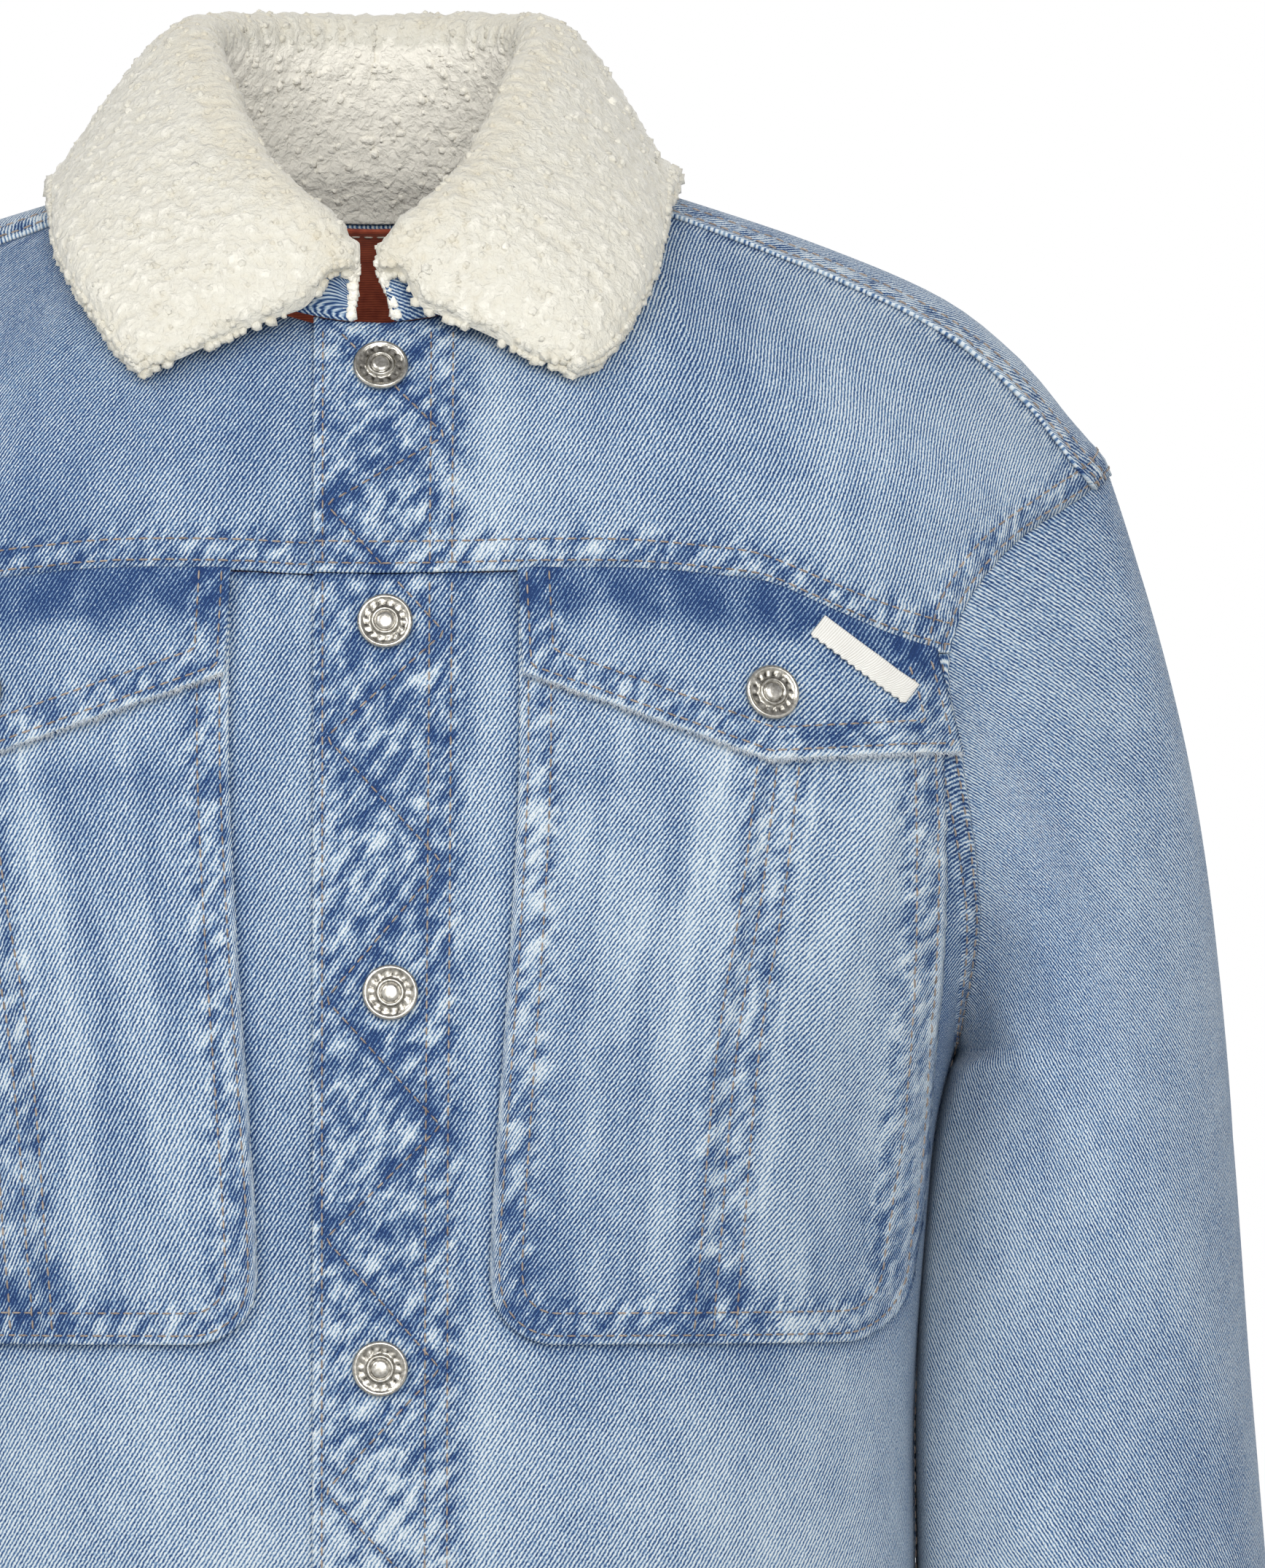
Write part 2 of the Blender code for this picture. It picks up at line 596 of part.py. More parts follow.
def main():
    for obj in list(bpy.data.objects):
        bpy.data.objects.remove(obj)

    denim = new_material("washed_denim", (0.29, 0.36, 0.47), 0.9)
    sherpa = new_material("sherpa_pile", (0.79, 0.77, 0.71), 1.0)
    lining = new_material("rust_lining", (0.21, 0.042, 0.023), 0.8)
    nickel = new_material("nickel_silver", (0.55, 0.54, 0.5), 0.35, 1.0)
    tape = new_material("woven_tape", (0.85, 0.85, 0.83), 0.8)

    under = tuck_under(DENIM + LAYER_GAP)
    body_wall("front_yoke_left", front_yoke("left"), -DENIM, 0, denim)
    body_wall("front_yoke_right", mirrored(front_yoke("right")), -DENIM, 0, denim, under)
    body_wall("front_left", front("left"), -DENIM, 0, denim)
    body_wall("front_right", mirrored(front("right")), -DENIM, 0, denim, under)
    body_wall("back_yoke", back_yoke(), -DENIM, 0, denim)
    body_wall("back", back_panel(), -DENIM, 0, denim)
    lining_top = DENIM + SEAM_GAP
    body_wall("back_lining", back_yoke(), -lining_top - LINING, -lining_top, lining)

    grid = waistband_grid()
    normals = [[body_normal(p) for p in row] for row in grid]
    grid = trimmed([[p - n * t for p, n, t in zip(*lines)] for lines in zip(grid, normals, band_tuck(grid))])
    wall("waistband", grid, normals, DENIM / 2 - BAND, DENIM / 2, denim)

    turns = sleeve_turns()
    arm = sleeve()
    arm = arm[:-1] + [[p + Vector((0, 0, SEAM_GAP / 2)) for p in arm[-1]]]
    cuff = [sleeve_section(z, turns) for z in (CUFF_SEAM - SEAM_GAP / 2, -588, CUFF_END)]
    for side, sign in (("left", 1), ("right", -1)):
        for part, rings, low, high in (("sleeve", arm, -DENIM, 0), ("cuff", cuff, 0.6 - BAND, 0.6)):
            normals = grid_normals(rings, closed=True)
            normals = [[-n for n in row] for row in normals]
            if sign < 0:
                rings = mirrored(rings)
                normals = [[Vector((-n.x, n.y, n.z)) for n in row] for row in normals]
            wall(f"{part}_{side}", rings, normals, low, high, denim, closed=True)
        seat, outward = cuff[1][-3], -grid_normals(cuff, closed=True)[1][-3]
        seat, outward = (Vector((v.x * sign, v.y, v.z)) for v in (seat, outward))
        button(f"cuff_button_{side}", seat + outward * (0.6 + BUTTON_GAP), outward, nickel)

    grid = collar_grid()
    normals = grid_normals(grid)
    thin_at_seam = [0.3, 0.8] + [1] * (len(grid[0]) - 3) + [0.8]
    wall("collar", grid, normals, SEAM_GAP, PILE, sherpa, taper=thin_at_seam)
    wall("under_collar", grid, normals, -0.4 - DENIM, -0.4, denim)

    on_pocket = LAYER_GAP + DENIM + LAYER_GAP
    on_flap = on_pocket + DENIM + BUTTON_GAP
    for side, sign in (("left", 1), ("right", -1)):
        pocket, flap = pocket_grid(), flap_grid()
        if sign < 0:
            pocket, flap = mirrored(pocket), mirrored(flap)
        body_wall(f"pocket_{side}", pocket, LAYER_GAP, LAYER_GAP + DENIM, denim)
        body_wall(f"flap_{side}", flap, on_pocket, on_pocket + DENIM, denim)
        seat = on_body(FLAP_BUTTON[0] * sign, FLAP_BUTTON[1])
        outward = body_normal(seat)
        button(f"flap_button_{side}", seat + outward * on_flap, outward, nickel)
    body_wall("label", label_grid(), on_flap, on_flap + 1.0, tape)

    for name, (x, z) in BUTTONS.items():
        seat = on_body(x, z)
        outward = body_normal(seat)
        lift = BUTTON_GAP + (DENIM / 2 if name == "waistband_button" else 0)
        button(name, seat + outward * lift, outward, nickel)


main()
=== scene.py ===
"""Washed denim jacket with a sherpa collar, worn with nobody in it: the finish of every cut piece.

The form is the CAD model's own: the tables and functions that give its surfaces are repeated here on fine
grids, and every piece gets its seams, puckers, stitches and wash. Sizes are in millimetres until a mesh is
made; the frame's metres, +Z up, front to -Y and the wearer's left at +X hold throughout.
"""

import math

import bpy
import numpy as np
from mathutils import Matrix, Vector


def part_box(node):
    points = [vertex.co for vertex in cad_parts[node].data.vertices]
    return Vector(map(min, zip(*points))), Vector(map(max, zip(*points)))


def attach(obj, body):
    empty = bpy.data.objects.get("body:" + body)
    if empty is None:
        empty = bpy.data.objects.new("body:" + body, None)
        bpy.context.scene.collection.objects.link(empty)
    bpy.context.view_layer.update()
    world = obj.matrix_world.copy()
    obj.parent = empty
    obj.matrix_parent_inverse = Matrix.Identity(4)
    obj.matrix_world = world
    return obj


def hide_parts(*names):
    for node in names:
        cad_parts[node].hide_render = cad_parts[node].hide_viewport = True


MM = 0.001
TURN = 2 * math.pi

# Sizes that the CAD model is drawn from
DENIM, BAND, PILE, LINING = 1.2, 2.4, 7.0, 1.0
FOLD_REACH, COLLAR_CLEARANCE = 32.0, 3.6
SEAM_GAP, LAYER_GAP, BUTTON_GAP = 0.3, 0.8, 0.4
NECK_HALF_WIDTH, NECK_FRONT, NECK_BACK = 76.0, 78.0, 70.0
SHOULDER_SEAM_AT = math.radians(75)
ARMHOLE_MIDDLE, ARMHOLE_HALF = -173.5, 88.9
ARMHOLE_FRONT, ARMHOLE_BACK = math.radians(31), math.radians(28)
ARMPIT = ARMHOLE_MIDDLE - ARMHOLE_HALF
BACK_YOKE = -125.0
WAIST_SEAM, HEM = -553.0, -593.0
SLEEVE_HANGS, CUFF_SEAM, CUFF_END = -290.0, -563.0, -613.0
OVERLAP = {"left": 18.6, "right": 17.0}
TUCKED, FLUSH = 22.0, 40.0
BUTTON_RADIUS = 8.5
BUTTONS = {"button_1": (2, -56), "button_2": (3.3, -134), "button_3": (4.9, -246),
           "button_4": (1.9, -359), "button_5": (2, -472), "waistband_button": (2, -573)}
FLAP_BUTTON = (119.2, -156.0)

BODY = {
    "z":     (8, -1, -13, -28, -46, -65, -85, -110, -138,
              -172, -221, -262, -285, -310, -366, -424, -553, -593),
    "width": (76, 104, 139, 174, 198, 214.5, 228.7, 216, 203,
              202, 195, 180, 174, 170.5, 167.5, 168, 169, 166),
    "front": (18, 34, 48, 64, 82, 93, 100, 105, 111, 118, 125, 127, 127, 127, 126, 124, 118, 115),
    "back":  (46, 68, 82, 93, 103, 110, 116, 121, 125, 128, 128, 125, 123, 121, 116, 112, 109, 108),
    "power": (2, 2, 2, 2, 2.05, 2.1, 2.15, 2.3, 2.5, 2.6, 2.6, 2.6, 2.55, 2.5, 2.45, 2.4, 2.3, 2.3),
}
SLEEVE = {
    "z":     (-290, -350, -425, -500, -563, -613),
    "outer": (267.5, 272, 277, 281, 283, 284),
    "inner": (177, 171.5, 172, 180, 194, 199),
    "front": (-62, -62, -60, -52, -42, -39),
    "back":  (84, 80, 72, 62, 50, 46),
}
YOKE_SEAM = {"x": (0, 100, 121, 134, 146, 159, 172), "z": (-119, -119.5, -122.5, -128, -133, -138, -142)}
COLLAR = {
    "angle":  (2, 15, 30, 45, 60, 75, 96, 117, 138, 159, 180),
    "fold_x": (3, 15, 26, 34, 41, 47, 53, 51, 40, 22, 0),
    "fold_y": (-82, -78, -71, -59, -43, -24, 0, 23, 42, 55, 60),
    "fold_z": (-30, -14, -4, 6, 20, 35, 49, 54, 56, 57, 57),
    "edge_x": (60, 65, 73, 80, 85, 87, 86, 77, 59, 32, 0),
    "edge_y": (-92, -88, -78, -63, -42, -16, 12, 40, 65, 82, 90),
    "edge_z": (-60, -53, -42, -28, -14, -3, 2, 2, 0, -2, -4),
    "flare":  (10, 7, 6, 8, 9, 8, 6, 4, 2, 1, 0),
}
POCKET = {
    "z":     (-124, -180, -230, -281, -322, -352),
    "inner": (43.5, 43.5, 41, 37.5, 35, 34.5),
    "outer": (168, 172.5, 172.5, 168, 163.5, 161),
}
POCKET_CORNER, POCKET_UNDER_FLAP = 20.0, 6.0
UNDER_FLAP = -182                     # where a painted shadow under a flap's lower edge darkens its pocket
FLAP_TOP = (43.0, 169.0)
FLAP_LOWER_EDGE = {"x": (44.6, 118.6, 177), "z": (-150, -176, -172.6)}
LABEL_FROM, LABEL_TO, LABEL_WIDTH = (135.0, -132.0), (163.0, -153.0), 8.0

# Sewing
TWIN_ROWS = (2.8, 9.6)                # from a felled seam's edge, the usual quarter inch apart
STITCH, STITCH_GAP, THREAD = 3.1, 0.9, 0.34
PLACKET_ROW = {"z": (-593, -300, -40, 0), "x": (15, 15.5, 17.4, 17.4)}
PLACKET_ROWS_APART, PLACKET_BEYOND = 6.7, 2.6
PLACKET_EDGE_ROW = 3.0
ZIGZAG = (-41, -77, -98, -137, -169, -207, -248, -286, -320, -359, -396, -433, -470, -507, -544)
PLEAT = {"z": (-177, -217.5, -255, -293, -322, -352), "x": (118.6, 113.5, 107, 103, 101, 98.3)}
PLEAT_ROWS = (-3.2, 3.0, 9.8)
PLEAT_WEAR = ((-12.5, 1.3, 0.5), (15, 1.5, 0.55), (-17.5, 3, 0.16), (20.5, 3.5, 0.16), (5.8, 1.0, 0.3))
BAND_ROW = 3.0                        # the single row round cuffs and waistband
SLEEVE_LEAN = math.radians(-68)       # of the sleeves' twill, from the body's

# Wash: -1 is unfaded indigo and 1 is worn white
TONE = {"front_yoke": 0.0, "front": -0.04, "back": 0.06, "back_yoke": 0.25, "sleeve": -0.05, "cuff": 0.02,
        "waistband": 0.02, "pocket": 0.08, "flap": -0.10, "under_collar": -0.25}


# ---------------------------------------------------------------- form

def curve(table, key, at, name="z"):
    """Smooth value of one column of a table, through every row."""
    knots, values = np.array(table[name], float), np.array(table[key], float)
    if knots[0] > knots[-1]:
        knots, values = knots[::-1], values[::-1]
    slopes = np.gradient(values, knots)
    at = np.clip(at, knots[0], knots[-1])
    i = np.clip(np.searchsorted(knots, at, side="right") - 1, 0, len(knots) - 2)
    step = knots[i + 1] - knots[i]
    t = (at - knots[i]) / step
    return ((2 * t**3 - 3 * t**2 + 1) * values[i] + (t**3 - 2 * t**2 + t) * step * slopes[i]
            + (3 * t**2 - 2 * t**3) * values[i + 1] + (t**3 - t**2) * step * slopes[i + 1])


def mix(a, b, t):
    return a + (b - a) * t


def ease(t):
    t = np.clip(t, 0.0, 1.0)
    return t * t * (3 - 2 * t)


def bell(distance, width):
    return np.exp(-(distance / width) ** 2)


def xyz(x, y, z):
    return np.stack(np.broadcast_arrays(x, y, z), axis=-1).astype(float)


def unit(v):
    return v / np.maximum(np.linalg.norm(v, axis=-1, keepdims=True), 1e-9)


def body(key, z):
    return curve(BODY, key, z)


RIDGE_Z = np.linspace(8, -85, 120)
RIDGE_X = body("width", RIDGE_Z)


def ridge(x):
    return np.interp(np.abs(x), RIDGE_X, RIDGE_Z)


def on_body(x, z, back=False):
    power = body("power", z)
    reach = np.maximum(0.0, 1 - (np.abs(x) / body("width", z)) ** power) ** (1 / power)
    return xyz(x, np.where(back, body("back", z), -body("front", z)) * reach, z)


def at_angle(angle, z):
    """The body's surface by the angle round it: 0 is the centre front, a quarter turn the wearer's left."""
    power = body("power", z)
    sine, cosine = np.sin(angle), np.cos(angle)
    x = body("width", z) * np.sign(sine) * np.abs(sine) ** (2 / power)
    depth = np.where(cosine > 0, body("front", z), body("back", z))
    return xyz(x, -depth * np.sign(cosine) * np.abs(cosine) ** (2 / power), z)


def angle_at(x, z):
    share = np.minimum(1.0, np.abs(x) / body("width", z)) ** (body("power", z) / 2)
    return np.sign(x) * np.arcsin(share)


def over_shoulder(x, drop):
    """The same surface by x and the root of the drop below the shoulder line, negative in front."""
    return on_body(x, ridge(x) - drop * drop, drop > 0)


def drop_of(points):
    return np.sign(points[..., 1]) * np.sqrt(np.maximum(0.0, ridge(points[..., 0]) - points[..., 2]))


def body_level(p):
    depth = np.where(p[..., 1] < 0, body("front", p[..., 2]), body("back", p[..., 2]))
    power = body("power", p[..., 2])
    return (np.abs(p[..., 0]) / body("width", p[..., 2])) ** power + (np.abs(p[..., 1]) / depth) ** power


def body_normal(points):
    slope = [body_level(points + step) - body_level(points - step) for step in 0.2 * np.eye(3)]
    return unit(np.stack(slope, axis=-1))


def neck_seam(angle):
    x = NECK_HALF_WIDTH * np.sin(angle)
    y = -np.where(np.cos(angle) > 0, NECK_FRONT, NECK_BACK) * np.cos(angle)
    low, high = np.full_like(x, -60.0), np.full_like(x, 8.0)
    for _ in range(40):
        middle = (low + high) / 2
        outside = body_level(xyz(x, y, middle)) < 1
        low, high = np.where(outside, middle, low), np.where(outside, high, middle)
    return xyz(x, y, low)


def armhole(turn, side=1):
    """Edge of the armhole: 0 at the shoulder tip, a quarter turn at the front, half at the armpit."""
    z = ARMHOLE_MIDDLE + ARMHOLE_HALF * np.cos(turn)
    reach = np.where(np.sin(turn) > 0, ARMHOLE_FRONT, ARMHOLE_BACK)
    angle = math.pi / 2 - reach * np.sin(turn) * (1 + 0.4 * np.cos(turn))
    return at_angle(angle, z) * (side, 1, 1)


def turn_at(z):
    return math.acos((z - ARMHOLE_MIDDLE) / ARMHOLE_HALF)


def yoke_seam(x):
    return curve(YOKE_SEAM, "z", np.abs(x), "x")


SHOULDER_TURN = math.radians(20)
YOKE_TURN = turn_at(YOKE_SEAM["z"][-1])
BACK_YOKE_TURN = turn_at(BACK_YOKE)


def shoulder_seam(share):
    near, far = neck_seam(np.array(SHOULDER_SEAM_AT)), armhole(SHOULDER_TURN)
    return over_shoulder(mix(near[0], far[0], share), mix(drop_of(near), drop_of(far), share))


def steps(*spans):
    """Grid parameters: each span is a start, an end and how many cells it is cut into."""
    parts = [np.linspace(start, end, count, endpoint=False) for start, end, count in spans]
    return np.append(np.concatenate(parts), spans[-1][1])


# Across a front: 0 to 1 is the placket, 1 to 2 the step beside it, 2 to 11 the way to the side
ACROSS = steps((0, 1, 32), (1, 2, 12), (2, 10.2, 48), (10.2, 11, 12))
STEP_END, LAST = 2.0, 11.0


def across_front(z, last, overlap):
    x = np.interp(ACROSS, (0, 1, 2), (-overlap, TUCKED, FLUSH))
    share = np.clip((ACROSS - STEP_END) / (LAST - STEP_END), 0, 1)
    return np.where(ACROSS < STEP_END, angle_at(x, z), mix(angle_at(FLUSH, z), last, share))


def front_yoke_seam(overlap):
    end = armhole(YOKE_TURN)
    z = np.full(ACROSS.shape, BACK_YOKE)
    for _ in range(6):
        line = at_angle(across_front(z, angle_at(end[0], end[2]), overlap), z)
        z = yoke_seam(line[:, 0])
    line = on_body(line[:, 0], z)
    line[-1] = end
    return line


def patch(bottom, top, rise, ends, share):
    """Rows over the shoulder between two lines, top row first; the outer columns follow the armholes."""
    rise = rise[:, None]
    weight = np.abs(share) ** 3
    x = mix(bottom[:, 0], top[:, 0], rise)
    drop = mix(drop_of(bottom), drop_of(top), rise)
    new_x, new_drop = x.copy(), drop.copy()
    for column, line in ends.items():
        near = share < 0 if column == 0 else share >= 0
        new_x += near * weight * (line[:, 0][:, None] - x[:, [column]])
        new_drop += near * weight * (drop_of(line)[:, None] - drop[:, [column]])
    return over_shoulder(new_x, new_drop)


def front_yoke_form(overlap):
    first = math.degrees(math.asin(-overlap / NECK_HALF_WIDTH))
    degrees = np.interp(ACROSS, range(7), (first, 2, 15, 30, 45, 60, 75))
    top = np.where((ACROSS <= 6)[:, None], neck_seam(np.radians(degrees)),
                   shoulder_seam(np.clip((ACROSS - 6) / 5, 0, 1)))
    rise = steps((1, 0.14, 40), (0.14, 0, 13))
    return patch(front_yoke_seam(overlap), top, rise, {-1: armhole(mix(YOKE_TURN, SHOULDER_TURN, rise))},
                 ACROSS / LAST)


def front_form(overlap):
    top = front_yoke_seam(overlap)
    ends = armhole(steps((YOKE_TURN, math.pi, 58)))
    down = (ends[:, 2] - top[-1, 2]) / (ARMPIT - top[-1, 2])
    heights = mix(top[:, 2], ARMPIT, down[:, None])
    upper = at_angle(across_front(heights, angle_at(ends[:, 0], ends[:, 2])[:, None], overlap), heights)
    upper[:, -1] = ends
    z = steps((ARMPIT, WAIST_SEAM + 14, 112), (WAIST_SEAM + 14, WAIST_SEAM, 8))[1:, None]
    return np.concatenate([upper, at_angle(across_front(z, math.pi / 2, overlap), z)])


NECK_SHARE = 6 / 11                   # of the back yoke's top edge, from the middle; the rest is the shoulder
ACROSS_BACK = steps((-1, -0.93, 10), (-0.93, 0.93, 100), (0.93, 1, 10))


def back_form():
    ends = armhole(-steps((BACK_YOKE_TURN, math.pi, 44)))
    z = ends[:, [2]]
    half = angle_at(ends[:, [0]], z)
    upper = at_angle(math.pi + half * ACROSS_BACK, z)
    z = steps((ARMPIT, WAIST_SEAM, 84))[1:, None]
    return np.concatenate([upper, at_angle(math.pi + math.pi / 2 * ACROSS_BACK, z)])


def back_yoke_form():
    end = armhole(-BACK_YOKE_TURN)
    bottom = at_angle(math.pi + angle_at(end[0], end[2]) * ACROSS_BACK, np.array(BACK_YOKE))
    out = np.abs(ACROSS_BACK)
    neck = neck_seam(np.radians(np.interp(out, np.linspace(0, NECK_SHARE, 6), (180, 159, 138, 117, 96, 75))))
    seam = shoulder_seam(np.clip((out - NECK_SHARE) / (5 / 11), 0, 1))
    top = np.where((out <= NECK_SHARE)[:, None], neck, seam)
    top[:, 0] *= -np.sign(ACROSS_BACK - 1e-9)
    rise = steps((1, 0.88, 14), (0.88, 0.1, 48), (0.1, 0, 10))
    turns = mix(-BACK_YOKE_TURN, SHOULDER_TURN, rise)
    return patch(bottom, top, rise, {0: armhole(turns), -1: armhole(turns, -1)}, ACROSS_BACK)


def sleeve_section(z, turns):
    outer, inner, front, back = (curve(SLEEVE, key, z) for key in ("outer", "inner", "front", "back"))
    return xyz((outer + inner) / 2 + (outer - inner) / 2 * np.cos(turns),
               (front + back) / 2 - (back - front) / 2 * np.sin(turns), z)


UNDER_SEAM = math.radians(205)        # where a sleeve's own seam runs, behind the inner side
ROUND_ARM = UNDER_SEAM + np.arange(128) / 128 * TURN
INNER_SIDE = math.radians(172)        # where a sleeve hangs nearest the body
ARM_RADIUS = 52


def sleeve_form():
    first = sleeve_section(np.array(SLEEVE_HANGS), ROUND_ARM)
    sine, cosine = np.sin(ROUND_ARM), np.cos(ROUND_ARM)
    leave = unit(xyz(0.3 + 0.5 * np.abs(sine), 0.35 * sine, -0.75 - 0.2 * np.abs(cosine)))
    start = armhole(ROUND_ARM) + leave * SEAM_GAP * 2
    reach = np.linalg.norm(first - start, axis=-1, keepdims=True)
    arrive = xyz(0.05 * cosine, 0, -1) * reach
    t = steps((0, 0.06, 7), (0.06, 1, 54))[:, None, None]
    fan = hermite(start, leave * reach, first, arrive, t)
    z = steps((SLEEVE_HANGS, CUFF_SEAM + SEAM_GAP, 84))[1:, None]
    tucked = fan[:1] - leave * 3.5 - body_normal(armhole(ROUND_ARM)) * 1.9
    return np.concatenate([tucked, fan, sleeve_section(z, ROUND_ARM)])


def hermite(start, leave, end, arrive, t):
    return (start * (2 * t**3 - 3 * t**2 + 1) + leave * (t**3 - 2 * t**2 + t)
            + end * (3 * t**2 - 2 * t**3) + arrive * (t**3 - t**2))


def collar_half(side, degrees, stand, fall):
    """The collar's cloth from the neck seam up the stand, over the fold and down the fall."""
    at = {key: curve(COLLAR, key, degrees, "angle")[:, None] for key in COLLAR if key != "angle"}
    flare = at["flare"] if side < 0 else 0
    fold = np.concatenate([at["fold_x"] + flare / 2, at["fold_y"], at["fold_z"]], axis=1)
    edge = np.concatenate([at["edge_x"] + flare, at["edge_y"], at["edge_z"]], axis=1)
    base = neck_seam(np.radians(degrees))
    base = base - body_normal(base) * DENIM / 2 + (0, 0, SEAM_GAP + 0.4)
    out = unit((edge - fold) * (1, 1, 0))
    rise = np.linalg.norm(fold - base, axis=1, keepdims=True)
    over = out * np.minimum(FOLD_REACH, 1.5 * rise)
    up = hermite(base[:, None], (rise * (0, 0, 1))[:, None], fold[:, None], over[:, None],
                 stand[None, :, None])
    drop = np.linalg.norm(edge - fold, axis=1, keepdims=True)
    down = hermite(fold[:, None], over[:, None], edge[:, None], (drop * (0, 0, -0.6) + out * 6)[:, None],
                   fall[None, :, None])
    normal = body_normal(down)
    slope = body_level(down + normal) - body_level(down)
    short = COLLAR_CLEARANCE * ease(2 * fall) * (fall > 0.3) - (body_level(down) - 1) / slope
    low = (down[..., 2] <= BODY["z"][0]) & (fall > 0.3)
    down = down + normal * (np.maximum(short, 0) * low)[..., None]
    return np.concatenate([up, down], axis=1) * (side, 1, 1)


def collar_form(around, stand, fall):
    """Rows from the wearer's right front round the back to the left; columns from the seam to the edge."""
    degrees = np.linspace(2, 180, around)
    stand, fall = np.linspace(0, 1, stand), np.linspace(0, 1, fall + 1)[1:]
    right, left = collar_half(-1, degrees, stand, fall), collar_half(1, degrees, stand, fall)
    return np.concatenate([right, left[-2::-1]])


def pocket_form():
    u = steps((0, 0.1, 9), (0.1, 0.9, 60), (0.9, 1, 9))
    v = steps((0, 0.93, 112), (0.93, 1, 12))[:, None]
    inside = np.minimum(u, 1 - u) * (POCKET["outer"][-1] - POCKET["inner"][-1])
    lift = np.clip(POCKET_CORNER - inside, 0, None)
    rise = POCKET_CORNER - np.sqrt(POCKET_CORNER**2 - lift**2)
    top = yoke_seam(mix(POCKET["inner"][0], POCKET["outer"][0], u)) - POCKET_UNDER_FLAP
    z = mix(top, POCKET["z"][-1] + rise, v)
    return on_body(mix(curve(POCKET, "inner", z), curve(POCKET, "outer", z), u), z)


def flap_form():
    u, v = steps((0, 1, 100)), steps((0, 1, 40))[:, None]
    low_x = mix(FLAP_LOWER_EDGE["x"][0], FLAP_LOWER_EDGE["x"][-1], u)
    low_z = np.interp(low_x, FLAP_LOWER_EDGE["x"], FLAP_LOWER_EDGE["z"])
    top_x = mix(FLAP_TOP[0], FLAP_TOP[1], u)
    return on_body(mix(top_x, low_x, v), mix(yoke_seam(top_x), low_z, v))


def label_form():
    start, end = np.array(LABEL_FROM), np.array(LABEL_TO)
    along = unit(end - start)
    down = np.array((along[1], -along[0]))
    u, v = steps((0, 1, 54)), steps((0, 1, 12))[:, None]
    teeth = 0.9 * np.abs((u * 13) % 1 - 0.5) * 2
    flat = start + (end - start) * u[:, None] + down * (v * (LABEL_WIDTH - teeth))[..., None]
    return on_body(flat[..., 0], flat[..., 1])


def waistband_form():
    side = math.pi / 2
    left = across_front(np.array(HEM), side, OVERLAP["left"])
    right = across_front(np.array(HEM), side, OVERLAP["right"])
    angles = np.concatenate([left, np.linspace(side, 3 * side, 130)[1:-1], TURN - right[::-1]])
    return at_angle(angles, steps((WAIST_SEAM, HEM, 26))[:, None])


# ---------------------------------------------------------------- folds, puckers, wash and painted shadow

def cloud(a, b, seed):
    """Soft random hills between -1 and 1, one for each unit of a and b."""
    table = np.random.RandomState(seed).rand(64, 64) * 2 - 1
    a, b = np.broadcast_arrays(np.asarray(a, float), np.asarray(b, float))
    i, j = np.floor(a).astype(int), np.floor(b).astype(int)
    s, t = ease(a - i), ease(b - j)
    corners = [[table[(i + di) % 64, (j + dj) % 64] for dj in (0, 1)] for di in (0, 1)]
    return mix(mix(corners[0][0], corners[1][0], s), mix(corners[0][1], corners[1][1], s), t) * 1.3


# Broad soft folds on the body: middle, half length, tilt from upright, half width and height
FRONT_FOLDS = ((150, -205, 60, 14, 7, 1.6), (162, -300, 70, -6, 9, 2.2), (40, -470, 60, 20, 12, 1.5),
               (-150, -215, 60, -12, 8, 1.6), (-158, -310, 70, 8, 9, 2.0), (-60, -440, 70, -24, 14, 1.6),
               (110, -480, 60, -18, 12, 1.8), (-115, -500, 50, 16, 12, 1.6))
BACK_FOLDS = ((120, -250, 80, 22, 12, 2.4), (-118, -262, 80, -22, 12, 2.4), (30, -430, 90, 8, 15, 2.2),
              (-70, -480, 70, -14, 14, 2.2), (95, -500, 60, 12, 13, 2.0), (0, -180, 40, 60, 14, 1.2))


def body_folds(points):
    """How far the worn cloth stands off the smooth form, by fold and by a slow unevenness."""
    x, y, z = points[..., 0], points[..., 1], points[..., 2]
    height = 0.5 * cloud(x / 42 + 7, z / 60 + 3, 1) * ease((np.abs(x) - 30) / 30)
    for folds, there in ((FRONT_FOLDS, y < 0), (BACK_FOLDS, y > 0)):
        for fold_x, fold_z, length, tilt, width, size in folds:
            sine, cosine = math.sin(math.radians(tilt)), math.cos(math.radians(tilt))
            dx, dz = x - fold_x, z - fold_z
            along, beside = dx * sine + dz * cosine, dx * cosine - dz * sine
            height = height + there * size * bell(along, length) * bell(beside, width)
    return height


def run_of(line):
    """How far along a line each of its points lies."""
    return np.append(0, np.cumsum(np.linalg.norm(np.diff(line, axis=0), axis=-1)))


def reach_of(grid):
    """How far down its own column each grid point lies."""
    gaps = np.linalg.norm(np.diff(grid, axis=0), axis=-1)
    return np.concatenate([np.zeros((1, gaps.shape[1])), np.cumsum(gaps, axis=0)])


def edge_first(grid, edge):
    """The grid turned so that one of its edges is the first row."""
    if edge in ("start", "end"):
        grid = grid.swapaxes(0, 1)
    return grid[::-1] if edge in ("bottom", "end") else grid


def from_edge(grid, edge):
    """Distance of every grid point from one edge, and how far along that edge its line starts."""
    turned = edge_first(grid, edge)
    distance = reach_of(turned)
    found = distance, np.broadcast_to(run_of(turned[0]), distance.shape)
    if edge in ("bottom", "end"):
        found = [a[::-1] for a in found]
    return [a.T for a in found] if edge in ("start", "end") else found


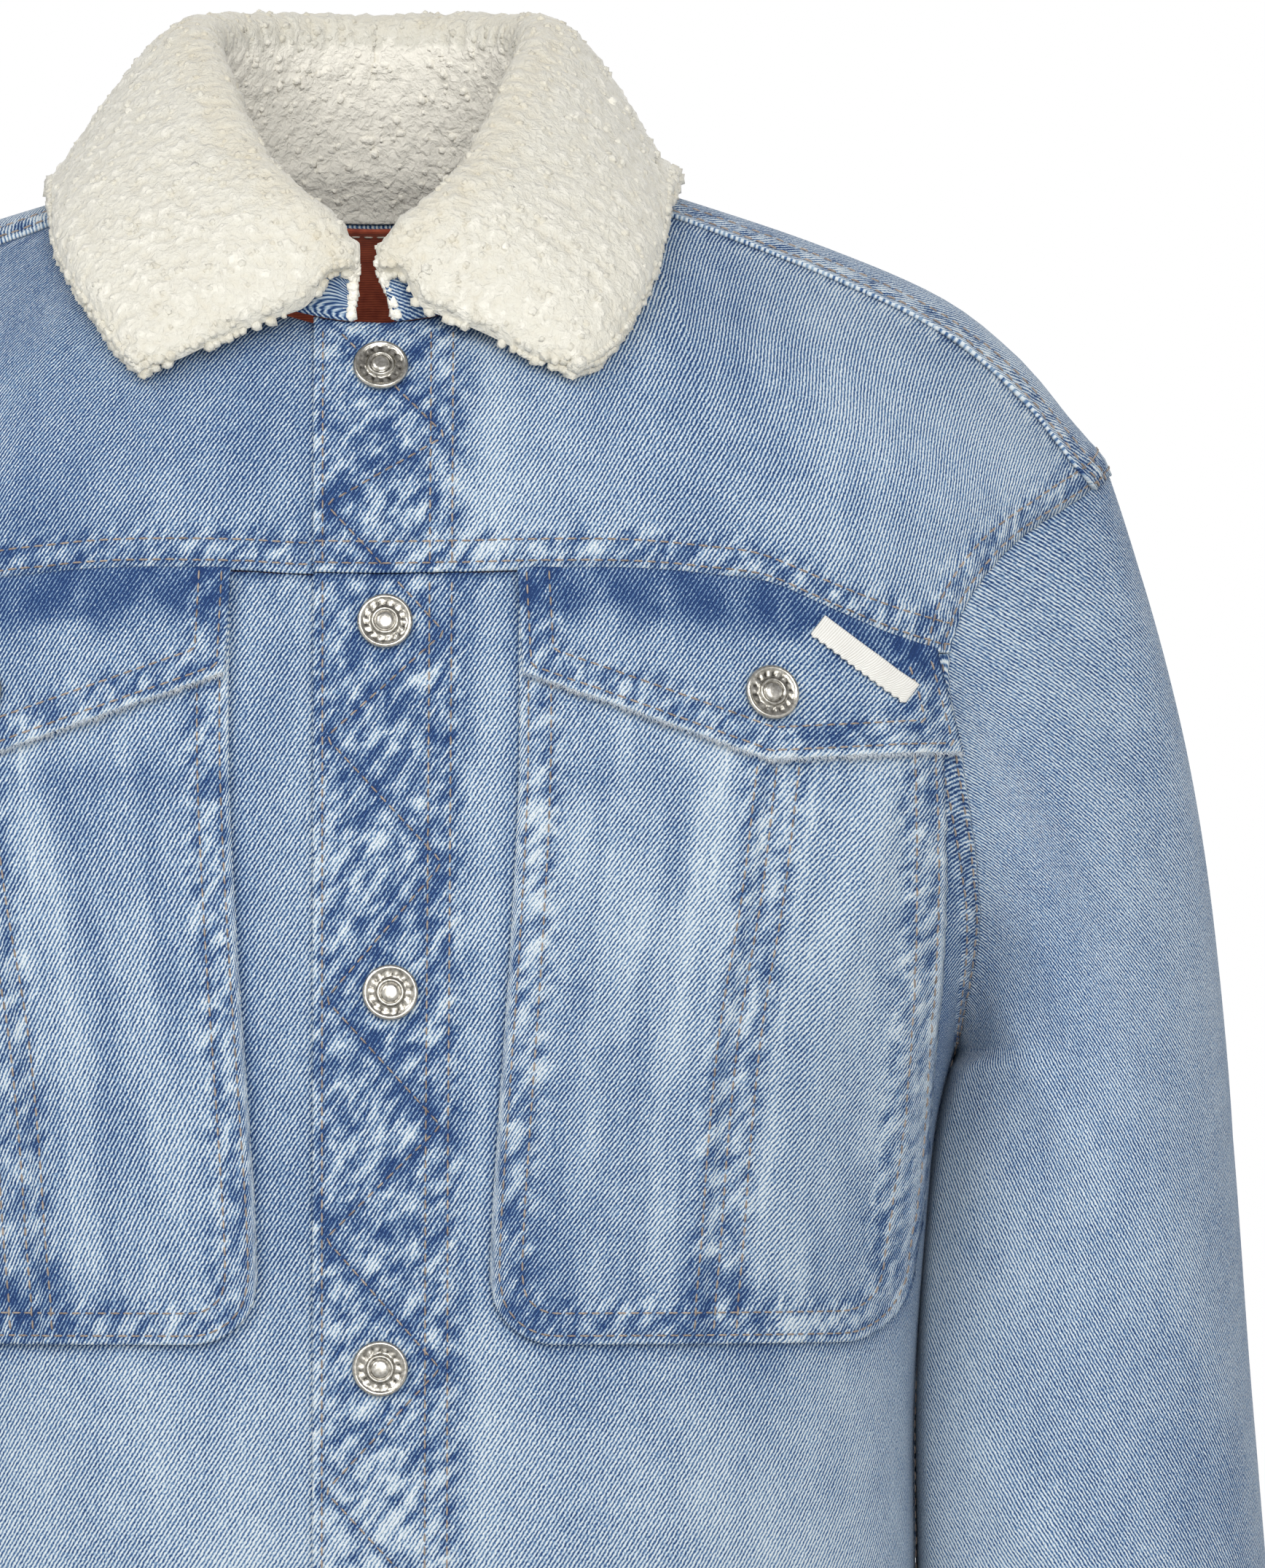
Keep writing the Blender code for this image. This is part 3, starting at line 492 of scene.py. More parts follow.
def from_line(points, line):
    """Distance of points from a drawn line, and how far along it they lie."""
    flat = points.reshape(-1, points.shape[-1])
    runs = run_of(line)
    best, run = np.full(len(flat), 1e9), np.zeros(len(flat))
    for k in range(len(line) - 1):
        step = line[k + 1] - line[k]
        length = np.linalg.norm(step) + 1e-9
        t = np.clip((flat - line[k]) @ step / length**2, 0, 1)
        distance = np.linalg.norm(flat - line[k] - t[:, None] * step, axis=1)
        closer = distance < best
        best = np.where(closer, distance, best)
        run = np.where(closer, runs[k] + t * length, run)
    return best.reshape(points.shape[:-1]), run.reshape(points.shape[:-1])


def felled(distance, run, seed, rows=TWIN_ROWS, lift=0.8):
    """A seam's doubled, twin-stitched band: its height, and its wash of white ridges and blue hollows."""
    slant = run + 0.55 * distance
    rope = 0.8 * cloud(slant / 1.9, distance / 6, seed) + 0.6 * cloud(slant / 3.6, distance / 9, seed + 1)
    sharp = np.tanh(1.9 * rope)
    band = ease((rows[-1] + 2.2 - distance) / 1.4)
    near = bell(np.maximum(distance - 6.5, 0), 3.2)
    height = lift * band + 0.3 * rope * near
    for row in rows:
        height = height - 0.22 * bell(distance - row, 1.0)
    streak = cloud(run / 2.0, distance / 20, seed + 2)
    ladder = bell(distance - (rows[0] + rows[-1]) / 2, 3.4)
    edge = 0.32 + 0.3 * cloud(run / 2.2, 0.5, seed + 3)
    tone = (0.10 * sharp * near + 0.12 * sharp * ladder + edge * bell(distance, 1.2) - 0.10 * near
            - 0.40 * np.maximum(streak, 0) * bell(np.maximum(distance - rows[-1], 0), 7) * (1 - near))
    for row in rows:
        tone = tone - 0.22 * bell(distance - row, 0.9)
    pucker = bell(np.maximum(distance - rows[-1] - 1.5, 0), 3.0) * ease((distance + 0.5) / 2)
    return height, tone, pucker


def under_seam(distance, run, seed, wash_and_shadow=1.0):
    """Cloth that leaves a seam from beneath: it dips and puckers beside it, with a puckered wash and a
    painted shadow along the seam.
    """
    rope = np.tanh(2 * cloud(run / 2.8, distance / 12, seed))
    near = bell(distance, 7)
    # painted shadow: the two bells darken the cloth next to the seam where its ridge shades it; the rope term
    # is the puckered wash
    tone = (0.2 * rope * near - 0.3 * bell(distance, 3.0) - 0.45 * bell(distance, 1.5)) * wash_and_shadow
    return -0.5 * bell(distance, 2.0) + 0.15 * rope * near, tone, 0.7 * near


def placket_row(z):
    return np.interp(z, PLACKET_ROW["z"], PLACKET_ROW["x"])


def zigzag_line():
    sides = [(-14.5 if k % 2 == 0 else placket_row(z) + 4.5) for k, z in enumerate(ZIGZAG)]
    return np.array([(x, float(z)) for x, z in zip(sides, ZIGZAG)])


def placket(points, seed=40):
    """The left front's doubled button band, pulled into short creases by its zigzag of stitches."""
    x, z = points[..., 0], points[..., 2]
    inner = placket_row(z) + PLACKET_ROWS_APART + PLACKET_BEYOND
    band = ease((inner - x) / 1.6)
    near, _ = from_line(points[..., (0, 2)], zigzag_line())
    slant = z + 0.25 * x + 2.0 * cloud(x / 6, z / 8, seed + 5)
    crease = 0.75 * cloud(x / 6, slant / 1.7, seed) + 0.5 * cloud(x / 2.4, slant / 1.9, seed + 1)
    inside = ease((inner + 4 - x) / 6)
    height = 0.65 * band + 0.3 * crease * inside
    blots = cloud(x / 4.5, z / 6, seed + 2)
    tone = inside * (0.22 * np.tanh(2.0 * crease) - 0.35 * np.maximum(blots, 0) - 0.14)
    tone = tone - inside * (0.30 * bell(near, 3.2) * (0.6 - 0.8 * crease) + 0.55 * bell(near, 1.3))
    for row in (placket_row(z), placket_row(z) + PLACKET_ROWS_APART, -OVERLAP["left"] + PLACKET_EDGE_ROW):
        height = height - 0.2 * bell(x - row, 1.0)
        tone = tone - 0.2 * bell(x - row, 1.2)
    edge = x + OVERLAP["left"]
    hollow = bell(x - inner - 3.0, 2.5) * (0.6 + cloud(x / 9, z / 6, seed + 3))
    tone = tone + 0.45 * bell(edge, 1.6) - 0.25 * hollow + 0.22 * bell(x - inner - 9, 5.0)
    height = height - 0.2 * bell(near, 1.0) * band
    return height - 0.35 * bell(edge, 0.9), tone, 1.1 * inside * (1 - 0.7 * bell(near, 1.6))


def tuck(points):
    """The wearer's right front lies under the left one along the button line."""
    return (DENIM + LAYER_GAP) * ease((points[..., 0] + FLUSH) / (FLUSH - TUCKED))


# ---------------------------------------------------------------- meshes

def plain_mesh(name, points, faces, material, uv=None, tone=None, pucker=None):
    """One object from points in millimetres and faces that all have the same number of corners."""
    faces = np.asarray(faces)
    mesh = bpy.data.meshes.new(name)
    mesh.vertices.add(len(points))
    mesh.vertices.foreach_set("co", (np.asarray(points, float) * MM).ravel())
    mesh.loops.add(faces.size)
    mesh.loops.foreach_set("vertex_index", faces.ravel().astype(np.int32))
    mesh.polygons.add(len(faces))
    mesh.polygons.foreach_set("loop_start", np.arange(0, faces.size, faces.shape[1], dtype=np.int32))
    mesh.update(calc_edges=True)
    if uv is not None:
        mesh.uv_layers.new(name="cloth").data.foreach_set("uv", np.asarray(uv, float).ravel())
    # the tone attribute holds wear and wash together with painted shade and light
    for key, values in (("wear_and_shade", tone), ("pucker", pucker)):
        if values is not None:
            data = mesh.attributes.new(key, "FLOAT", "POINT").data
            data.foreach_set("value", np.asarray(values, float).ravel())
    mesh.shade_smooth()
    mesh.materials.append(material)
    obj = bpy.data.objects.new(name, mesh)
    bpy.context.scene.collection.objects.link(obj)
    return obj


def grid_cells(rows, columns, closed):
    """Corner rows and columns of every cell of a grid, seen from its face."""
    i, j = np.meshgrid(np.arange(rows - 1), np.arange(columns if closed else columns - 1), indexing="ij")
    i, j = i.ravel(), j.ravel()
    return np.stack([i, i + 1, i + 1, i], axis=1), np.stack([j, j, j + 1, j + 1], axis=1)


class Cloth:
    """One cut piece: its grid on the form, rows downwards, with the normals and the face's height off it."""

    def __init__(self, name, grid, normal, height, tone, wall=DENIM, closed=False, flip=False, pucker=0.0):
        self.name, self.closed, self.flip = name, closed, flip
        self.grid, self.normal = grid, normal
        self.face = grid + normal * height[..., None]
        self.back = grid - normal * wall
        self.tone = tone
        self.pucker = np.broadcast_to(pucker, height.shape)

    def mesh(self, material):
        rows, columns = self.grid.shape[:2]
        size = rows * columns
        i, j = grid_cells(rows, columns, self.closed)
        if self.flip:
            i, j = i[:, ::-1], j[:, ::-1]
        quads = i * columns + j % columns
        uv = self.grain()
        corner_uv = uv[i, j]
        faces, uvs = [quads, quads[:, ::-1] + size], [corner_uv, corner_uv[:, ::-1]]
        for line, turned in self.rims():
            here, there = line[:-1], line[1:]
            rim = np.stack([here, there, there + size, here + size], axis=1)
            if turned ^ self.flip:
                rim = rim[:, ::-1]
            faces.append(rim)
            uvs.append(uv[rim % size // columns, rim % size % columns])
        points = np.concatenate([self.face.reshape(-1, 3), self.back.reshape(-1, 3)])
        tones = np.concatenate([self.tone.ravel(), np.clip(self.tone.ravel(), -1, 1)])
        return plain_mesh(self.name, points, np.concatenate(faces), material, np.concatenate(uvs), tones,
                          np.tile(self.pucker.ravel(), 2))

    def rims(self):
        rows, columns = self.grid.shape[:2]
        index = np.arange(rows * columns).reshape(rows, columns)
        if self.closed:
            index = np.concatenate([index, index[:, :1]], axis=1)
        yield index[0], False
        yield index[-1], True
        if not self.closed:
            yield index[:, 0], True
            yield index[:, -1], False

    def grain(self):
        """Flat millimetres across and up the cloth, turned by the lean of the piece's twill."""
        grid = np.concatenate([self.grid, self.grid[:, :1]], axis=1) if self.closed else self.grid
        across, down = reach_of(grid.swapaxes(0, 1)).T, reach_of(grid)
        if self.closed or self.name.startswith("back"):
            across = across - across[:, [grid.shape[1] // 2]]
        up = -down if self.name.startswith(("pocket", "flap")) else down[-1] - down
        if self.closed:    # by turn and height, so that the twill keeps its lean where a sleeve's rows slope
            across = np.linspace(-0.5, 0.5, grid.shape[1]) * across[:, -1:].mean() * 2 * np.ones_like(up)
            up = grid[..., 2]
        across = -across if self.flip else across
        lean = SLEEVE_LEAN if self.closed else 0.0
        return np.stack([across * math.cos(lean) - up * math.sin(lean),
                         across * math.sin(lean) + up * math.cos(lean)], axis=-1)

    def row(self, edge, distance, trim=0.0):
        """A line on the form at a distance inside one edge, without its two ends."""
        turned = edge_first(self.grid, edge)
        reach = reach_of(turned)
        line = np.array([[np.interp(distance, reach[:, k], turned[:, k, axis]) for axis in range(3)]
                         for k in range(turned.shape[1])])
        runs = run_of(line)
        line = line[(runs >= trim) & (runs <= runs[-1] - trim)]
        return np.concatenate([line, line[:1]]) if self.closed and edge in ("top", "bottom") else line

    def seat(self, points):
        """Places on the finished face, and the normals there, for points given on the form."""
        grid, face = self.grid.reshape(-1, 3), self.face.reshape(-1, 3)
        normal = self.normal.reshape(-1, 3)
        lift = np.einsum("ij,ij->i", face - grid, normal)
        apart = ((points**2).sum(1)[:, None] - 2 * points @ grid.T + (grid**2).sum(1))
        near = np.argpartition(apart, 4, axis=1)[:, :4]
        weight = 1 / (np.take_along_axis(apart, near, axis=1).clip(0) + 0.05)
        weight /= weight.sum(1, keepdims=True)
        outward = unit((normal[near] * weight[..., None]).sum(1))
        base = points - outward * np.einsum("ij,ij->i", points - (grid[near] * weight[..., None]).sum(1),
                                            outward)[:, None]
        return base + outward * (lift[near] * weight).sum(1)[:, None], outward


def resampled(line, pitch):
    runs = run_of(line)
    count = max(2, int(runs[-1] / pitch) + 1)
    at = np.linspace(0, runs[-1], count)
    return np.stack([np.interp(at, runs, line[:, axis]) for axis in range(line.shape[1])], axis=1)


def stitching(cloth, lines, material):
    """Lockstitches along lines on a piece: each is a short thread, thick in the middle, sunk at its ends."""
    shape = ((-0.5, 0.25, -0.4), (-0.28, 1, 0.35), (0.28, 1, 0.35), (0.5, 0.25, -0.4))
    sides, points = 4, []
    for line in lines:
        knots = resampled(np.asarray(line, float), (STITCH + STITCH_GAP) / 2)
        if len(knots) < 4:
            continue
        place, outward = cloth.seat(knots)
        middle, forward = place[1:-1:2], place[2::2]
        count = min(len(middle), len(forward))
        middle, outward = middle[:count], outward[1:-1:2][:count]
        ahead = unit(forward[:count] - place[0:-2:2][:count])
        across = np.cross(outward, ahead)
        rings = []
        for along, thick, lift in shape:
            for k in range(sides):
                turn = TURN * (k + 0.5) / sides
                rings.append(middle + ahead * along * STITCH
                             + across * (THREAD * thick * math.cos(turn))
                             + outward * (THREAD * (thick * math.sin(turn) + lift)))
        points.append(np.stack(rings, axis=1))
    points = np.concatenate(points)
    ring = [(k, (k + 1) % sides, (k + 1) % sides + sides, k + sides) for k in range(sides)]
    one = [[corner + i * sides for corner in face] for i in range(len(shape) - 1) for face in ring]
    one += [[3, 2, 1, 0], [len(shape) * sides - 4 + k for k in range(4)]]
    faces = copies(one, points)[:, ::-1]
    return plain_mesh(cloth.name + "_stitching", points.reshape(-1, 3), faces, material)


def copies(faces, points):
    """The faces of one small shape, repeated for as many as there are sets of points."""
    count, each = points.shape[:2]
    return (np.array(faces)[None] + each * np.arange(count)[:, None, None]).reshape(-1, len(faces[0]))


# ---------------------------------------------------------------- materials

def linear(text):
    """Linear RGBA from an sRGB hex colour."""
    values = [int(text[k:k + 2], 16) / 255 for k in (1, 3, 5)]
    return (*[v / 12.92 if v <= 0.04045 else ((v + 0.055) / 1.055) ** 2.4 for v in values], 1)


def add(tree, kind, inputs=None, **settings):
    """Adds one node; an input is a value or the output socket that feeds it."""
    made = tree.nodes.new("ShaderNode" + kind)
    for key, value in settings.items():
        setattr(made, key, value)
    for key, value in (inputs or {}).items():
        if isinstance(value, bpy.types.NodeSocket):
            tree.links.new(value, made.inputs[key])
        else:
            made.inputs[key].default_value = value
    return made


def ramp(tree, factor, stops):
    made = add(tree, "ValToRGB", {"Fac": factor})
    elements = made.color_ramp.elements
    while len(elements) < len(stops):
        elements.new(0.5)
    for element, (position, colour) in zip(elements, stops):
        element.position, element.color = position, linear(colour)
    return made.outputs["Color"]


def new_material(name):
    material = bpy.data.materials.new(name)
    material.use_nodes = True
    return material, material.node_tree, material.node_tree.nodes["Principled BSDF"]


def on_cloth(tree):
    """Place on the flat cloth, in millimetres."""
    return add(tree, "UVMap", uv_map="cloth").outputs["UV"]


def in_space(tree):
    """Place in the object's own space, in metres."""
    return add(tree, "TexCoord").outputs["Object"]


def painted(tree, name):
    return add(tree, "Attribute", attribute_name=name).outputs["Fac"]


def noise(tree, place, scale, detail, out="Fac", **inputs):
    return add(tree, "TexNoise", {"Vector": place, "Scale": scale, "Detail": detail, **inputs}).outputs[out]


def ribs(tree, place, pitch, distortion, inputs=None, **settings):
    """Straight bands, one every pitch millimetres."""
    return add(tree, "TexWave", {"Vector": place, "Scale": 0.314 / pitch, "Distortion": distortion,
                                 **(inputs or {})}, **settings).outputs["Fac"]


def mapped(tree, place, key, value):
    return add(tree, "Mapping", {"Vector": place, key: value}).outputs[0]


def calc(tree, operation, *values):
    return add(tree, "Math", dict(enumerate(values)), operation=operation).outputs[0]


def plus(tree, source, weight, base):
    return calc(tree, "MULTIPLY_ADD", source, weight, base)


def joined(tree, shader, colour, roughness, relief=None, inputs=None):
    """Feeds the shader: a colour, a relief as its height, strength and depth in metres, and plain values."""
    tree.links.new(colour, shader.inputs["Base Color"])
    if relief:
        bump = add(tree, "Bump", dict(zip(("Height", "Strength", "Distance"), relief))).outputs["Normal"]
        tree.links.new(bump, shader.inputs["Normal"])
    for key, value in {"Roughness": roughness, **(inputs or {})}.items():
        shader.inputs[key].default_value = value


def washed_denim():
    """Indigo-warp cotton twill, stone-washed: dark yarn faces worn to white along every ridge of the cloth.

    The diagonal ribs stand 1.15 mm apart; single yarns are finer than the eye sees from here, so specks of
    half a millimetre stand for them.
    """
    material, tree, shader = new_material("washed_denim")
    cloth, wear_and_shade = on_cloth(tree), painted(tree, "wear_and_shade")
    rib = ribs(tree, mapped(tree, cloth, "Rotation", (0, 0, math.radians(33))), 1.15, 2.2,
               {"Detail": 2.0, "Detail Scale": 2.0})
    speck = noise(tree, cloth, 1.5, 2.0)
    slub = noise(tree, mapped(tree, cloth, "Scale", (1 / 0.7, 1 / 5.0, 1)), 1.0, 3.0)
    mottle = noise(tree, cloth, 1 / 16.0, 4.0, Roughness=0.6)
    gathered = painted(tree, "pucker")
    slanted = mapped(tree, cloth, "Rotation", (0, 0, math.radians(-50)))
    crease = noise(tree, mapped(tree, slanted, "Scale", (1 / 9.0, 1 / 3.4, 1)), 1.0, 2.0, Distortion=0.5)
    crease = calc(tree, "MULTIPLY", calc(tree, "SUBTRACT", crease, 0.5), gathered)
    # the tone attribute adds the pieces' wash and their painted shadows beside seams and round the pockets
    value = plus(tree, crease, 2.0, plus(tree, wear_and_shade, 0.5, 0.5))
    for source, weight in ((rib, 0.92), (speck, 1.5), (slub, 0.5), (mottle, 0.3)):
        value = plus(tree, calc(tree, "SUBTRACT", source, 0.5), weight, value)
    colour = ramp(tree, value, ((0, "#1F3865"), (0.25, "#46658F"), (0.5, "#7A94AE"),
                                (0.75, "#A8B9C8"), (1, "#D3DADD")))
    relief = plus(tree, crease, 7.0, calc(tree, "ADD", rib, speck))
    joined(tree, shader, colour, 0.92, (relief, 0.5, 0.0003), {"Specular IOR Level": 0.25})
    return material


def sherpa_pile():
    """Curled polyester pile: matt cream tufts, with painted shade, warm and dim, between the curls."""
    material, tree, shader = new_material("sherpa_pile")
    place, wear_and_shade = in_space(tree), painted(tree, "wear_and_shade")
    bent = noise(tree, place, 260.0, 2.0, "Color")
    strayed = add(tree, "VectorMath", {0: bent, 1: (0.004, 0.004, 0.004), 2: place}, operation="MULTIPLY_ADD")
    curl = noise(tree, strayed.outputs[0], 420.0, 3.0)
    # painted shade: the curl noise that raises the bump darkens the hollows between curls, and the attribute
    # adds the collar's painted shade and light
    colour = ramp(tree, plus(tree, curl, 0.35, wear_and_shade), ((0.1, "#B8AB90"), (0.5, "#D2CBB8"), (0.85, "#DAD7CB"),
                                                       (1, "#F5F1E5")))
    joined(tree, shader, colour, 1.0, (curl, 0.7, 0.0022), {"Specular IOR Level": 0.1, "Sheen Weight": 0.3})
    return material


def thread(name, dark, light):
    """Spun polyester topstitch thread: a dull twist that catches the light on each turn of its ply."""
    material, tree, shader = new_material(name)
    patchy = noise(tree, in_space(tree), 160.0, 2.0)
    joined(tree, shader, ramp(tree, patchy, ((0.3, dark), (0.7, light))), 0.7)
    return material


def nickel():
    """Nickel-silver, stamped and tumbled: bright worn tops over a duller, slightly warm ground."""
    material, tree, shader = new_material("nickel_silver")
    worn = noise(tree, in_space(tree), 900.0, 4.0)
    value = plus(tree, painted(tree, "wear_and_shade"), 0.5, worn)
    colour = ramp(tree, value, ((0.05, "#45423C"), (0.35, "#A5A198"), (0.7, "#D6D3CB")))
    joined(tree, shader, colour, 0.26, (worn, 0.25, 0.0001), {"Metallic": 1.0})
    return material


def rust_lining():
    """Plain-woven viscose lining in rust: a fine even grid with a faint sheen across it."""
    material, tree, shader = new_material("rust_lining")
    cloth = on_cloth(tree)
    yarn = ribs(tree, cloth, 0.9, 2.0, {"Detail": 2.0}, bands_direction="Y")
    value = plus(tree, yarn, 0.3, noise(tree, cloth, 0.25, 3.0))
    joined(tree, shader, ramp(tree, value, ((0.3, "#8C3320"), (0.9, "#C8603F"))), 0.75, (yarn, 0.4, 0.0002),
           {"Sheen Weight": 0.2})
    return material


def woven_tape():
    """Bleached cotton tape: close ribs across its length."""
    material, tree, shader = new_material("woven_tape")
    yarn = ribs(tree, on_cloth(tree), 0.8, 1.0)
    joined(tree, shader, ramp(tree, yarn, ((0.2, "#D2D0C8"), (0.8, "#ECEBE6"))), 0.85, (yarn, 0.5, 0.0002))
    return material


def painted_floor():
    """Matt white studio floor with the faint mottling of rolled paint."""
    material, tree, shader = new_material("painted_floor")
    patchy = noise(tree, in_space(tree), 3.0, 3.0)
    joined(tree, shader, ramp(tree, patchy, ((0.3, "#DADAD8"), (0.7, "#DEDEDC"))), 0.9)
    return material


# ---------------------------------------------------------------- pieces

def finish_piece(obj, node, with_pieces=()):
    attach(obj, "root")
    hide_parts(node)
    for piece in with_pieces:
        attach(piece, "root")


def trimmed(grid, closed=False):
    """Every free edge drawn back by half the seam gap, so that neighbours stay apart."""
    grid = grid.copy()
    back = SEAM_GAP / 2
    for edge, inner in ((0, 1), (-1, -2)):
        grid[edge] += unit(grid[inner] - grid[edge]) * back
        if not closed:
            grid[:, edge] += unit(grid[:, inner] - grid[:, edge]) * back
    return grid


def on_form(grid):
    """A trimmed body grid with the folds in it, and its normals."""
    grid = trimmed(grid)
    normal = body_normal(grid)
    return grid + normal * body_folds(grid)[..., None], normal


def combined(grid, parts):
    """Several works on a piece: their heights and tones added, and the strongest of their puckers."""
    height, tone, pucker = (np.zeros(grid.shape[:-1]) for _ in range(3))
    for rise, shade, *gathers in parts:
        height, tone = height + rise, tone + shade
        pucker = np.maximum(pucker, gathers[0] if gathers else 0)
    return height, tone, pucker


def broad_wash(grid, seed):
    """Slow changes of the wash over a whole piece."""
    x, z = grid[..., 0], grid[..., 2]
    streaks = 0.10 * cloud(x / 7, z / 50, seed + 4)
    return 0.16 * cloud(x / 55, z / 70, seed) + 0.10 * cloud(x / 20, z / 26, seed + 1) + streaks


def front_yoke_piece(side, sign):
    grid, normal = on_form(front_yoke_form(OVERLAP[side]) * (sign, 1, 1))
    works = [felled(*from_edge(grid, "bottom"), 10 + sign), edge_seam(grid, "end", 14 + sign),
             under_seam(*from_edge(grid, "top"), 17 + sign, 0.6)]
    if side == "left":
        works.append(placket(grid))
    height, tone, pucker = combined(grid, works)
    tone = tone + 0.22 * ease((grid[..., 2] + 112) / 55) * ease((np.abs(grid[..., 0]) - 90) / 50)
    if side == "right":
        tone = tone - 0.22
        grid = grid - normal * tuck(grid)[..., None]
    return Cloth("front_yoke_" + side, grid, normal, height,
                 tone + TONE["front_yoke"] + broad_wash(grid, 60), flip=sign < 0, pucker=pucker)


def front_piece(side, sign):
    grid, normal = on_form(front_form(OVERLAP[side]) * (sign, 1, 1))
    works = [under_seam(*from_edge(grid, "top"), 20 + sign), edge_seam(grid, "end", 23 + sign)]
    if side == "left":
        works.append(placket(grid))
    height, tone, pucker = combined(grid, works)
    low = ease((-grid[..., 2] - 330) / 60)
    beside, _ = from_line(grid[..., (0, 2)] * (sign, 1), pocket_outline())
    # painted shadow: the front is darkened in a narrow band round the pocket's outline
    tone = tone + (0.34 if side == "left" else 0.2) * low - 0.35 * bell(beside, 3.2)
    if side == "right":
        grid = grid - normal * tuck(grid)[..., None]
    return Cloth("front_" + side, grid, normal, height, tone + TONE["front"] + broad_wash(grid, 62),
                 flip=sign < 0, pucker=pucker)


def edge_seam(grid, edge, seed):
    """A felled seam down one side of a body piece."""
    return felled(*from_edge(grid, edge), seed, lift=0.6)


def back_piece():
    grid, normal = on_form(back_form())
    works = [under_seam(*from_edge(grid, "top"), 30),
             edge_seam(grid, "start", 31), edge_seam(grid, "end", 33)]
    height, tone, pucker = combined(grid, works)
    return Cloth("back", grid, normal, height, tone + TONE["back"] + broad_wash(grid, 64), pucker=pucker)


def back_yoke_piece():
    grid, normal = on_form(back_yoke_form())
    distance, run = from_edge(grid, "top")
    outer = np.abs(run - run.max() / 2) > 108     # past the neck the top edge is the shoulder seam
    seam_height, seam_tone, gathers = felled(distance, run, 36)
    works = [felled(*from_edge(grid, "bottom"), 35),
             (seam_height * outer, (seam_tone + 0.12 * bell(distance, 9)) * outer, gathers * outer),
             edge_seam(grid, "start", 37), edge_seam(grid, "end", 38)]
    height, tone, pucker = combined(grid, works)
    tone = tone + TONE["back_yoke"] + broad_wash(grid, 66)
    return Cloth("back_yoke", grid, normal, height, tone, pucker=pucker)


def ring_normals(grid):
    beside = np.roll(grid, -1, axis=1) - np.roll(grid, 1, axis=1)
    return unit(np.cross(beside, np.gradient(grid, axis=0)))


# Folds on a sleeve: turn round the arm in degrees, height, half length, lean, half width and height
SLEEVE_FOLDS = ((150, -235, 36, 0.5, 10, 3.0), (120, -262, 46, 0.6, 9, 2.2), (60, -330, 80, 0.35, 16, 1.5),
                (200, -300, 60, -0.4, 12, 2.4), (100, -430, 55, 0.7, 12, 2.4), (150, -455, 50, -0.6, 11, 2.6),
                (240, -410, 60, 0.6, 13, 2.4), (40, -500, 60, -0.5, 13, 1.8), (300, -480, 60, 0.5, 14, 2.2),
                (180, -530, 40, 0.8, 11, 2.0))


def sleeve_piece(side, sign):
    grid = sleeve_form()
    normal = ring_normals(grid)
    z, arc = grid[..., 2], np.broadcast_to(ROUND_ARM, grid.shape[:2]) * ARM_RADIUS
    folds = 0.6 * cloud(arc / 36, z / 60, 5)
    for turn, at_z, length, lean, width, size in SLEEVE_FOLDS:
        beside = (arc - math.radians(turn) * ARM_RADIUS + 163) % (TURN * ARM_RADIUS) - 163 - lean * (z - at_z)
        folds = folds + size * bell(z - at_z, length) * bell(beside, width)
    folds = folds * ease(from_edge(grid, "top")[0] / 30) * ease((z - CUFF_SEAM) / 20)
    room = np.clip(grid[..., 0] - body("width", z) - 0.5, 0, 9)
    from_inside = (np.broadcast_to(ROUND_ARM, z.shape) - INNER_SIDE + math.pi) % TURN - math.pi
    inner_side = bell(from_inside, 0.7)
    folds = folds * (1 - inner_side) + room * inner_side * ease((-z - 262) / 7) * ease((z + 530) / 50)
    grid = grid + normal * folds[..., None]
    seam = np.minimum(*[from_edge(grid, edge)[0] for edge in ("start", "end")])
    works = [under_seam(*from_edge(grid, "top"), 50), under_seam(*from_edge(grid, "bottom"), 51),
             felled(*from_edge(grid, "start"), 52, lift=0.4),
             (-0.3 * bell(seam, 1.2), -0.15 * bell(seam, 2))]
    height, tone, pucker = combined(grid, works)
    tone = tone + 0.10 * np.clip(np.cos(np.broadcast_to(ROUND_ARM, z.shape)), 0, 1) ** 2 + 0.05 * folds
    tone = tone + 0.14 * ease((-250 - z) / 120)
    tone = tone + TONE["sleeve"] + 0.14 * cloud(arc / 60, z / 80, 68) + 0.08 * cloud(arc / 18, z / 30, 69)
    return Cloth("sleeve_" + side, grid * (sign, 1, 1), normal * (sign, 1, 1), height, tone, closed=True,
                 flip=sign > 0, pucker=pucker)


def cuff_piece(side, sign):
    grid = sleeve_section(steps((CUFF_SEAM - SEAM_GAP / 2, CUFF_END, 20))[:, None], ROUND_ARM)
    normal = ring_normals(grid)
    works = [felled(*from_edge(grid, "top"), 55, rows=(BAND_ROW,), lift=0.0),
             felled(*from_edge(grid, "bottom"), 56, rows=(BAND_ROW,), lift=0.0)]
    height, tone, pucker = combined(grid, works)
    return Cloth("cuff_" + side, grid * (sign, 1, 1), normal * (sign, 1, 1), height + 0.6,
                 tone + TONE["cuff"] + 0.1 * cloud(grid[..., 1] / 8, grid[..., 2] / 12, 57), wall=BAND - 0.6,
                 closed=True, flip=sign > 0, pucker=pucker)


